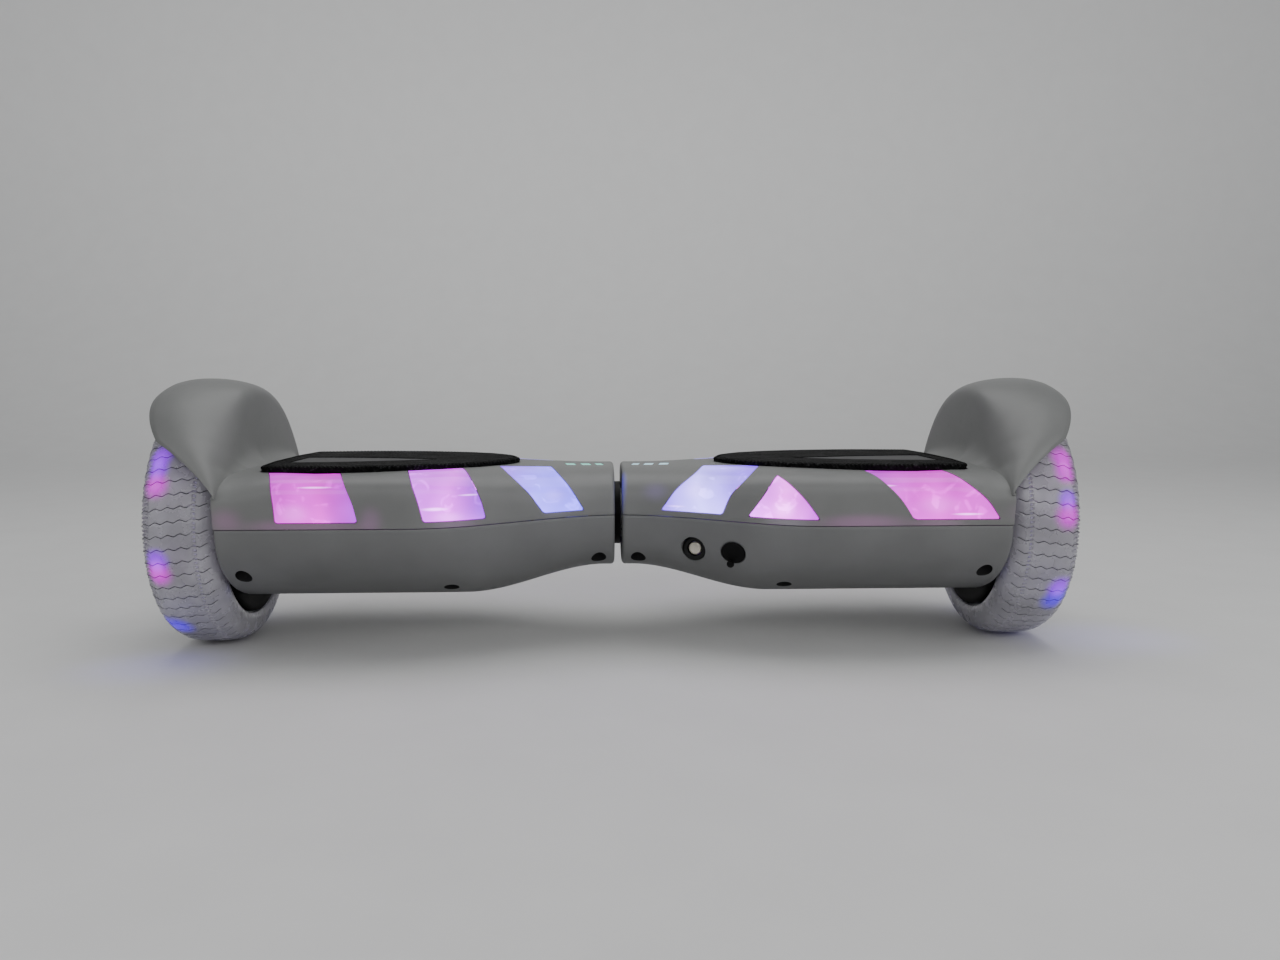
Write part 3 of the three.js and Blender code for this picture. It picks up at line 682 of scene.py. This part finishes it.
def inward(name, profile, at, tilt, segments=48, smooth=35.0):
    """A piece turned about a fitting's inward axis, from (depth, radius) points."""
    obj = lathe(name, profile, segments, 0.0, profile[0][1] > 0, smooth)
    co = np.array([v.co for v in obj.data.vertices]) * 1000
    depth, across, up = co[:, 0], co[:, 1], co[:, 2]
    # the lathe's X axis becomes the inward axis
    y, z = depth * math.cos(tilt) - up * math.sin(tilt), depth * math.sin(tilt) + up * math.cos(tilt)
    x = -across
    c, s = math.cos(TURN_IN), math.sin(TURN_IN)
    placed = np.stack([at[0] + x * c + y * s, at[1] - x * s + y * c, at[2] + z], 1)
    for vertex, p in zip(obj.data.vertices, placed * 0.001):
        vertex.co = p
    return tidy(obj, smooth)


SITES = [(231.5, 74, 66), (107, 56, 54), (13, 40.5, 68)]  # x, y and the seat of each pair of shell screws
WELL = 4.9  # radius of the screw wells


def lower_shell(side):
    shell = tube("lower", False, 0, GAP, BODY_END, 150, 2.4, 3.0)
    boolean(shell, tube("hollow", False, SKIN, GAP + 3, BODY_END - 3, 80, drop=6, rows=50))
    for x, y, seat in SITES:
        for face in (1, -1):
            outer = [(0, 30), (6.9, 30), (6.9, seat + 2.4), (0, seat + 2.4)]
            tower = upright("tower", outer, x, face * y)
            fit = tube("fit", False, 0.2, GAP, BODY_END, 60, rows=40)
            boolean(shell, boolean(tower, fit, "INTERSECT"), "UNION")
            boolean(shell, upright("well", [(0, 20), (WELL, 20), (WELL, seat), (0, seat)], x, face * y))
    if side == "right":
        fitting = tube("fit", False, 0.3, 20, 120, 90, rows=40)
        for at, tilt, r, floor in ((BUTTON_AT, 0.0, 9.0, 9.0), (PORT_AT, PORT_TILT, 9.6, 3.0)):
            boss = inward("boss", [(-20, 0), (-20, r), (floor, r), (floor, 0)], at, tilt)
            boolean(shell, boolean(boss, fitting, "INTERSECT", True), "UNION")
        bpy.data.objects.remove(fitting, do_unlink=True)
        boolean(
            shell,
            inward("bore", [(-20, 0), (-20, 8.1), (7, 8.1), (7, 5.4), (12, 5.4), (12, 0)], BUTTON_AT, 0.0),
        )
        boolean(
            shell,
            inward(
                "bore", [(-20, 0), (-20, 8.3), (1, 8.3), (1, 7.4), (12, 7.4), (12, 0)], PORT_AT, PORT_TILT
            ),
        )
    boolean(shell, lathe("hole", PIVOT_HOLE, 64, PIVOT_Z, False))
    boolean(shell, lathe("hole", [(230, 0), (230, 13), (250, 13), (250, 0)], 48, AXLE_Z, False))
    return tidy(shell)


def wells(shell):
    """1 for each face inside a screw well, which gets painted shade, else 0."""
    co = np.array([v.co[:] for v in shell.data.vertices]) * 1000
    deep = np.zeros(len(co), bool)
    for x, y, seat in SITES:
        for face in (1, -1):
            deep |= np.hypot(co[:, 0] - x, co[:, 1] - face * y) < WELL + 0.06
    return [int(all(deep[v] for v in face.vertices)) for face in shell.data.polygons]


def upright(name, profile, x, y, segments=32):
    """A solid turned about an upright axis, from (radius, z) points that start and end on the axis."""
    t = np.arange(segments) * 2 * math.pi / segments
    r, z = np.array(profile, float).T
    points = np.stack(
        [x + np.outer(np.cos(t), r), y + np.outer(np.sin(t), r), np.repeat(z[None], segments, 0)], 2
    )
    return tidy(make(name, points.reshape(-1, 3), grid_faces(segments, len(r), close_rows=True), 0))


# ---- pad ----
def foot_pad():
    outline = pad_outline()
    ring = np.concatenate([outline, outline[:1]])
    run = np.concatenate([[0], np.cumsum(np.hypot(*np.diff(ring, axis=0).T))])
    t = np.linspace(0, run[-1], 401)[:-1]
    outline = np.stack([np.interp(t, run, ring[:, k]) for k in (0, 1)], 1)
    ripple = 0.42 * np.cos(math.pi * np.arange(400))
    grain = 0.3 * np.cos(math.pi * np.arange(400))
    levels = [
        (0.8, -3.9, 0), (0.2, -3.6, 0), (0.15, -2.6, 0), (0.0, -1.4, 1), (0.3, -0.5, 1), (1.2, -0.2, 1),
        (2.6, -0.15, 1), (3.0, -0.5, 0), (3.6, -0.5, 0), (4.0, -0.05, 0),
    ]
    rings = []
    for margin, z, rough in levels:
        flat = shrunk(outline, margin)
        flat = flat + (shrunk(outline, margin + 1) - flat) * (ripple * rough)[:, None]
        rings.append(np.concatenate([flat, (PAD_TOP + z + grain * rough)[:, None]], 1))
    centre = np.array([160.0, 0.0])
    edge = shrunk(outline, 4.0)
    for k in np.linspace(0.94, 0.0, 16)[:-1]:
        rings.append(np.insert(centre + (edge - centre) * k, 2, PAD_TOP, 1))
    rings = [
        np.insert(centre + (shrunk(outline, 6) - centre) * k, 2, PAD_TOP - 3.9, 1) for k in (0.02, 0.5)
    ] + rings
    pad = loft("pad", rings)
    t = np.linspace(0, 1, 30)[:, None]
    swell = np.sin(t * math.pi / 2) ** 0.9
    near = np.concatenate([119 + 94 * t, -13 - 25 * swell], 1)
    far = np.concatenate([119 + 94 * t, -13 + 22 * swell], 1)
    strip = np.concatenate([near, far[::-1][:-1]])
    boolean(pad, prism("dish", strip, PAD_TOP - 0.7, 130, 2))
    return tidy(pad), tidy(prism("strip", shrunk(strip, 0.25), PAD_TOP - 1.4, PAD_TOP - 0.45, 2))


# ---- wheel ----
PITCHES = 62  # tread pitches round the tyre
TYRE_SECTION = [  # (x, radius) from the inner bead over the tread to the outer bead
    (250.4, 66.6), (249.4, 65.0), (248.0, 64.4), (246.8, 65.4), (246.2, 68.4), (246.3, 72.6), (247.4, 76.4),
    (249.8, 79.3), (253.2, 81.4), (257.5, 82.6), (263, 83.2), (269, 83.45), (276, 83.3), (282, 82.7),
    (286, 81.5), (289.6, 79.2), (291.6, 76.0), (292.2, 72.6), (291.6, 69.4), (289.6, 66.9),
]


def tyre():
    """A tyre whose grid follows its zigzag cuts, with pits on one shoulder and teeth on the outer edge."""
    profile = smooth_profile(TYRE_SECTION, 84)
    cuts = [-1.0, -0.9, -0.8, -0.56, -0.46, -0.2, -0.06, -0.018, 0.018, 0.06, 0.2, 0.46, 0.56, 0.8, 0.9]
    pitch = 2 * math.pi / PITCHES
    theta = np.concatenate([[(k + 0.5 + 0.5 * c) * pitch for c in cuts] for k in range(PITCHES)])
    phase = np.tile(np.array(cuts), PITCHES)
    x, r = profile[:, 0], profile[:, 1]
    zig = 0.2 * (2 * np.abs(((x - 247) / 7.4) % 1.0 - 0.5) - 0.5) * pitch + 0.014 * (x - 268) * pitch
    depth = 1.5 * ease((x - 249.5) / 2.5) * (1 - 0.75 * ease((x - 255) / 2) * (1 - ease((x - 259.5) / 2)))
    depth = np.where(r < 74.5, 0.0, depth) * ease((r - 74.5) / 2)
    groove = np.exp(-((phase[:, None] / 0.05) ** 4)) * depth[None]
    dots = (np.abs(np.abs(phase) - 0.68) < 0.14) | (np.abs(phase) < 0.1)
    pits = 1.1 * np.exp(-(((x[None] - 257.4) / 0.8) ** 4)) * dots[:, None]
    teeth = 1.5 * ease((x[None] - 284) / 2.5) * (0.5 + 0.5 * np.cos(3 * math.pi * (phase[:, None] + 1)))
    teeth = teeth * ease((r[None] - 70) / 3)
    radius = r[None] - groove - pits - teeth
    angle = theta[:, None] + zig[None]
    points = np.stack([x[None] - 0.7 * teeth, -radius * np.sin(angle), AXLE_Z + radius * np.cos(angle)], 2)
    inner = np.array([(289.2, 66.6), (250.8, 66.6)])
    back = np.stack(
        [
            np.repeat(inner[None, :, 0], len(theta), 0),
            -np.outer(np.sin(theta), inner[:, 1]),
            AXLE_Z + np.outer(np.cos(theta), inner[:, 1]),
        ],
        2,
    )
    points = np.concatenate([points, back], 1)
    rows, cols = points.shape[:2]
    made = outward(
        make("tyre", points.reshape(-1, 3), grid_faces(rows, cols, close_rows=True, close_cols=True), 28)
    )
    carved = np.pad(groove, ((0, 0), (0, 2))) > 0.5 * 1.1
    pitted = np.pad(pits, ((0, 0), (0, 2))) > 0.6
    return made, carved.ravel(), pitted.ravel()


def shade(obj, carved, pitted, dark, bright):
    """Puts painted shade on the cuts' floors with a darker finish and painted highlights on the pits with a
    brighter one.
    """
    obj.data.materials.append(dark)
    obj.data.materials.append(bright)
    for face in obj.data.polygons:
        corners = list(face.vertices)
        if carved[corners].sum() >= 2:
            face.material_index = 1
        elif pitted[corners].sum() >= 3:
            face.material_index = 2


def smooth_profile(keys, count):
    keys = np.array(keys, float)
    run = np.concatenate([[0], np.cumsum(np.hypot(*np.diff(keys, axis=0).T))])
    t = np.linspace(0, run[-1], count)
    out = np.stack([np.interp(t, run, keys[:, k]) for k in (0, 1)], 1)
    for _ in range(3):
        out[1:-1] = (out[:-2] + 2 * out[1:-1] + out[2:]) / 4
    return out


RIM_SECTION = [
    (250.3, 57), (281.8, 57), (281.8, 16.6), (288, 16.6), (288, 64), (287, 66.2), (278, 66.2),
    (277, 63.6), (260, 63.6), (259, 66.2), (250.9, 66.2), (250.3, 65.4),
]


def hub_inner():
    return lathe(
        "hub_inner",
        [
            (246.4, 16.6), (246.1, 20), (246.1, 30), (246.9, 31), (246.9, 57), (246.3, 58), (246.3, 62.4),
            (246.9, 63.6), (248.4, 63.9), (249.9, 63.9), (249.9, 16.6),
        ],
        96,
    )


def hub_outer():
    """The outer cap with six shallow pockets in its face."""
    cap = lathe(
        "hub_cap",
        [
            (288.4, 0), (291.6, 0), (291.6, 11), (290.6, 13), (290.4, 46), (291.3, 49), (291.3, 54),
            (290.2, 57.4), (288.4, 58), (288.4, 0),
        ],
        96,
        closed=False,
    )
    for k in range(6):
        a = math.radians(60 * k + 30)
        corners = [(17, -0.22), (42, -0.34), (43, 0.0), (42, 0.34), (17, 0.22)]
        pocket = [(r * math.cos(a + t), AXLE_Z + r * math.sin(a + t)) for r, t in corners]
        boolean(cap, prism("pocket", rounded(pocket, 4), 289.6, 294, 0))
    return tidy(cap)


# ---- build ----
LIT = {
    "left": [
        ([(0, [1.6, 0.002, 1.7, 1]), (0.55, [1.9, 0.002, 1.8, 1]), (1, [0.9, 0.002, 1.7, 1])], -209, -158),
        ([(0, [2.2, 0.12, 3.4, 1]), (0.55, [2.6, 0.12, 3.4, 1]), (1, [0.9, 0.06, 2.4, 1])], -126, -82),
        ([(0, [0.9, 0.3, 3.4, 1]), (0.5, [0.8, 0.6, 4.2, 1]), (1, [0.5, 0.4, 3.6, 1])], -72, -22),
    ],
    "right": [
        ([(0, [0.7, 0.26, 3.2, 1]), (0.4, [1.5, 1.2, 4.6, 1]), (1, [0.7, 0.25, 3.2, 1])], 27, 84),
        ([(0, [2.4, 0.16, 3.8, 1]), (0.5, [3.6, 0.3, 4.0, 1]), (1, [1.6, 0.02, 2.2, 1])], 80, 123),
        ([(0, [1.2, 0.01, 1.7, 1]), (0.5, [2.1, 0.006, 2.0, 1]), (1, [1.6, 0.004, 1.6, 1])], 150, 235),
    ],
}
# Bright streaks and hot spots in the windows: (X, Z, half width, half height, strength). The thin streaks are
# painted highlights, reflections of lamps on the lenses; the wide spots are brighter patches of the panels'
# own glow.
LENS_HIGHLIGHTS_AND_HOT_SPOTS = {
    "left": [
        (-183, 112.5, 14, 0.9, 4), (-196, 97, 14, 9, 0.5), (-112, 99, 11, 1.6, 5), (-92, 107, 9, 0.9, 4),
        (-104, 94, 13, 5, 0.8), (-40, 104, 12, 9, 1.0),
    ],
    "right": [
        (49, 107, 15, 10, 1.4), (36, 96.6, 10, 1.2, 4), (101, 98, 10, 8, 1.4), (162, 112, 11, 0.9, 4),
        (214, 94.4, 13, 1.1, 4), (196, 100, 20, 9, 0.4),
    ],
}


def round_wheel(x, glow_spots):
    """Spots of painted glow in a tyre, standing in for the lamps inside the wheel, from (degrees from the top
    to the front, radius, size, colour).
    """
    out = []
    for angle, away, size, colour in glow_spots:
        a = math.radians(angle)
        out.append(((x, -away * math.sin(a), AXLE_Z + away * math.cos(a)), size, colour))
    return out


PURPLE, MAGENTA, BLUE = [0.4, 0.004, 1.3], [0.9, 0.004, 1.0], [0.09, 0.005, 1.0]
# Painted glow in the tyres where the wheel's lamps shine through; the tyre itself is no lamp.
PAINTED_WHEEL_GLOW = {
    "left": [
        (56, 83, 11, PURPLE), (62, 83, 10, PURPLE), (69, 83, 12, MAGENTA), (101, 83, 11, PURPLE),
        (107, 83, 12, MAGENTA), (139, 83, 14, BLUE),
        (-62, 83, 13, PURPLE), (-74, 83, 12, MAGENTA), (-108, 83, 13, MAGENTA), (-142, 83, 14, BLUE),
    ],
    "right": [
        (58, 83, 12, MAGENTA), (65, 83, 11, MAGENTA), (77, 83, 10, PURPLE), (84, 83, 13, MAGENTA),
        (118, 83, 12, PURPLE), (125, 83, 14, BLUE),
        (-62, 83, 12, MAGENTA), (-84, 83, 13, MAGENTA), (-120, 83, 13, PURPLE), (-140, 83, 14, BLUE),
    ],
}


def on_side(obj, side):
    """Pieces are made for the right half and mirrored for the left."""
    return mirrored(obj) if side == "left" else obj


def lens_highlights_and_hot_spots(side, face, low, high):
    """The painted highlight streaks and the glow's hot spots that fall within the window between two X
    positions.
    """
    out = []
    for x, z, wide, tall, bright in LENS_HIGHLIGHTS_AND_HOT_SPOTS[side]:
        if low - 4 < x < high + 4:
            out.append(((x, -88 * face, z), (wide, 60, tall), [0.5 * bright, 0.28 * bright, 0.6 * bright]))
    return out


def build_shells(side):
    half = f"{side}_half"
    paint(on_side(upper_shell(side), side), SHELL[side], half, "shell_grey", f"{side}_upper_shell")
    shell = lower_shell(side)
    inside = wells(shell)
    shell = paint(on_side(shell, side), SHELL_LOW_SHADED, half, "shell_grey", f"{side}_lower_shell")
    # The faces inside the screw wells take the painted shade.
    shell.data.materials.append(WELL_PAINTED_SHADE)
    shell.data.polygons.foreach_set("material_index", inside)


def build_light_panels(side):
    for face, word in ((1, "front"), (-1, "rear")):
        for index, lens in enumerate(lenses(side, face)):
            stops, low, high = LIT[side][index]
            finish = glow(
                f"{side}_{word}_lens_{index}", stops, low, high, 1.0, lens_highlights_and_hot_spots(side, face, low, high)
            )
            paint(on_side(lens, side), finish, f"{side}_half", "light_lens", f"{side}_{word}_light_panel")


def build_indicators(side):
    colour = [0.2, 0.9, 0.75, 1] if side == "left" else [0.5, 0.85, 1.0, 1]
    for index, outline in enumerate(bars(0.25)):
        bar = prism("bar", rounded(outline, 0.7), 112, 125, 2)
        boolean(bar, tube("fit", True, 0.1, GAP, 60, 120, rows=40), "INTERSECT")
        lamp = glow(f"{side}_indicator_{index}", [(0, colour), (1, colour)], 0, 40, 1.6)
        paint(on_side(tidy(bar), side), lamp, f"{side}_half", "indicator_lens", f"{side}_indicator_lens")


def build_pad(side):
    for piece, finish in zip(foot_pad(), (GRIP, GRIP_SMOOTH)):
        paint(on_side(piece, side), finish, f"{side}_pad", "pad_rubber", f"{side}_foot_pad")


def build_tyre(side):
    glow_spots = round_wheel(281 if side == "right" else -281, PAINTED_WHEEL_GLOW[side])
    rubber, carved, pitted = tyre()
    clear = tyre_finish(f"{side}_tyre_finish", glow_spots, linear(182, 180, 188), 0.26, 0.3)
    paint(on_side(rubber, side), clear, f"{side}_wheel", "tyre_clear", f"{side}_tyre")
    # Painted shade: the floors of the cuts take a darker, opaque tyre finish with dimmer glow.
    dim = [(place, size, [0.25 * c for c in colour]) for place, size, colour in glow_spots]
    dark = tyre_finish(f"{side}_tyre_cut_shaded", dim, linear(70, 69, 78), 0.4, 0.0)
    # Painted highlight: the pits take a brighter finish with an even glow over them.
    pit_painted_highlight = [((0, 0, AXLE_Z), 2000, [0.22, 0.2, 0.3])]
    bright = tyre_finish(f"{side}_tyre_pit_highlight", pit_painted_highlight + glow_spots, linear(215, 212, 226), 0.3, 0.0)
    shade(rubber, carved, pitted, dark, bright)


def build_hub(side):
    wheel = f"{side}_wheel"
    paint(on_side(lathe("rim", RIM_SECTION, 96), side), RIM, wheel, "rim_alloy", f"{side}_wheel_rim")
    ring = lathe("light_ring", [(260, 64), (277, 64), (276.6, 65.9), (260.4, 65.9)], 96)
    paint(on_side(ring, side), MILKY, wheel, "wheel_light", f"{side}_wheel_light_ring")
    paint(on_side(hub_inner(), side), COVER, wheel, "black_plastic", f"{side}_hub_inner_cover")
    paint(on_side(hub_outer(), side), HUB, wheel, "hub_grey", f"{side}_hub_cap")


for side in ("right", "left"):
    for build in (build_shells, build_light_panels, build_indicators, build_pad, build_tyre, build_hub):
        build(side)

# Half the section of a screw as (radius, height from its seat), from the socket in its head to its tip.
SCREW_SECTION = [
    (0, -1.2), (1.7, -1.2), (1.7, -2.6), (2.6, -2.9), (3.3, -2.5),
    (3.6, -1.8), (3.6, -0.4), (1.6, -0.4), (1.6, 16), (0, 16),
]

cap_face = [
    (-1.2, 0), (-1.25, 3), (-1.15, 6.6), (-0.8, 7.4), (-0.2, 7.7), (0.5, 7.6), (0.5, 5.4), (2.2, 5.3),
    (2.2, 0),
]
cap = inward("port_cap", cap_face, PORT_AT, PORT_TILT)
tab = inward(
    "tab", [(-1.35, 0), (-1.4, 1.4), (-1.1, 2.2), (-0.4, 2.4), (0.3, 2.2), (0.4, 0)], PORT_AT, PORT_TILT
)
for vertex in tab.data.vertices:
    vertex.co.x -= 0.0018 * math.cos(TURN_IN)
    vertex.co.z -= 0.0071
boolean(cap, tab, "UNION")
paint(cap, RUBBER, "charge_cap", "cap_rubber", "charge_port_cap")
button = inward(
    "button", [(3.5, 0), (3.5, 3.2), (3.7, 3.8), (4.2, 4.2), (14.5, 4.2), (14.5, 0)], BUTTON_AT, 0.0
)
paint(button, METAL, "power_button", "button_metal", "power_button")
sleeve = inward(
    "sleeve",
    [(2.8, 5.0), (2.4, 5.8), (2.3, 6.8), (2.6, 7.6), (3.2, 7.95), (6.9, 7.95), (6.9, 4.6), (4.2, 4.6)],
    BUTTON_AT,
    0.0,
)
paint(sleeve, BLACK, "right_half", "black_plastic", "power_switch_body")

for side in ("right", "left"):
    for index, (x, y, seat) in enumerate([(x, face * y, seat) for x, y, seat in SITES for face in (-1, 1)]):
        head = [(r, seat + z) for r, z in SCREW_SECTION]
        screw = on_side(upright("screw", head, x, y, 40), side)
        paint(screw, SCREW, f"{side}_half", "screw_black", f"{side}_shell_screw_{index + 1}")
collar = lathe(
    "collar", [(-2.1, 17.3), (2.1, 17.3), (2.1, 21), (1.7, 21.6), (-1.7, 21.6), (-2.1, 21)], 80, PIVOT_Z
)
paint(collar, BLACK, "right_half", "black_plastic", "pivot_collar")
socket = inward(
    "socket", [(1.4, 6.3), (1.4, 7.1), (17, 7.1), (17, 0), (10, 0), (10, 6.3)], PORT_AT, PORT_TILT
)
paint(socket, STEEL, "right_half", "socket_steel", "charge_socket")
insert = inward("insert", [(9.0, 0), (9.0, 5.6), (8.6, 6.1), (9.8, 6.1), (9.8, 0)], PORT_AT, PORT_TILT)
paint(insert, BLACK, "right_half", "black_plastic", "charge_socket")


def on_port(turn, radius):
    """The place at an angle and a radius about the port's axis."""
    across, up = radius * math.cos(math.radians(turn)), radius * math.sin(math.radians(turn))
    back = -up * math.sin(PORT_TILT)
    c, s = math.cos(TURN_IN), math.sin(TURN_IN)
    x, y, z = PORT_AT
    return x + across * c + back * s, y - across * s + back * c, z + up * math.cos(PORT_TILT)


for turn in (90, 210, 330):
    pin = inward(
        "pin", [(3.4, 0), (3.5, 0.6), (3.9, 0.9), (9.0, 0.9), (9.0, 0)], on_port(turn, 2.9), PORT_TILT, 20
    )
    paint(pin, STEEL, "right_half", "socket_steel", "charge_socket")

# The CAD nodes still shown take a finish of their own.
FINISHES = {
    "chassis": STEEL,
    "axle_clamp": STEEL,
    "stator": STEEL,
    "bearing": STEEL,
    "shaft": STEEL,
    "circlip": STEEL,
    "harness": RUBBER,
    "bushing": surface("bush", linear(170, 140, 90), 0.35, metal=1.0),
    "board": surface("board", linear(28, 84, 50), 0.4),
    "battery": surface("wrap", linear(35, 70, 150), 0.3),
}
for name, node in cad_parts.items():
    for key, finish in FINISHES.items():
        if key in name:
            node.data.materials.clear()
            node.data.materials.append(finish)
            break

# ---- stage ----
cove = [(1.5 + 0.9 * math.sin(t), 0.9 * (1 - math.cos(t))) for t in np.linspace(0, math.pi / 2, 24)]
sweep = [(-1.6, 0.0), *cove, (2.4, 3.6)]  # the floor and the wall behind it, as (y, z) in metres
verts = [(x * 1000, y * 1000, z * 1000) for y, z in sweep for x in (-4, 4)]
floor = make("floor", verts, [[2 * i, 2 * i + 1, 2 * i + 3, 2 * i + 2] for i in range(len(sweep) - 1)], 60)
# Painted light on the backdrop: a broad glow brightening the wall behind, and pools of coloured wheel light
# painted on the floor under each wheel.
PAINTED_BACKDROP_GLOW = [
    ((0, 2600, 1300), (6000, 2700, 2700), [0.25, 0.25, 0.25]),
    ((-290, -75, 0), (75, 60, 30), [0.02, 0.015, 0.11]),
    ((335, -30, 0), (95, 75, 30), [0.03, 0.02, 0.13]),
]
backdrop = surface("backdrop", linear(212, 212, 211), 0.75, 60.0, 0.0004, tint=0.02, spots=PAINTED_BACKDROP_GLOW)
floor.data.materials.append(backdrop)


def area(name, place, aim, size, power, colour=(1, 1, 1)):
    data = bpy.data.lights.new(name, "AREA")
    data.shape, data.size, data.size_y, data.energy, data.color = "RECTANGLE", size[
        0
    ], size[1], power, colour
    lamp = bpy.data.objects.new(name, data)
    bpy.context.scene.collection.objects.link(lamp)
    lamp.location = place
    lamp.rotation_euler = (Vector(aim) - Vector(place)).to_track_quat("-Z", "Y").to_euler()


area("top", (0.1, 0.1, 1.7), (0, 0, 0), (2.0, 1.4), 18)
area("left", (-1.6, -0.9, 0.8), (0, 0, 0.1), (1.0, 1.0), 4)
area("right", (1.5, -1.1, 0.7), (0, 0, 0.1), (1.0, 1.0), 8.5)
area("front", (0.0, -1.7, 0.9), (0, 0, 0.05), (1.6, 0.6), 6.5)
world = bpy.data.worlds.new("world")
bpy.context.scene.world = world
world.use_nodes = True
world.node_tree.nodes["Background"].inputs[0].default_value = (0.9, 0.92, 0.95, 1)
world.node_tree.nodes["Background"].inputs[1].default_value = 0.28

CAMERA_AT = (-0.0118, -0.6955, 0.1755)
CAMERA_TURN = (90 - 5.56, 0.05, -2.28)  # degrees
LENS = 28.34
camera = bpy.data.objects.new("camera", bpy.data.cameras.new("camera"))
bpy.context.scene.collection.objects.link(camera)
camera.location = CAMERA_AT
camera.rotation_euler = Euler([math.radians(angle) for angle in CAMERA_TURN])
camera.data.sensor_width = 36
camera.data.lens = LENS
camera.data.clip_start = 0.01
bpy.context.scene.camera = camera
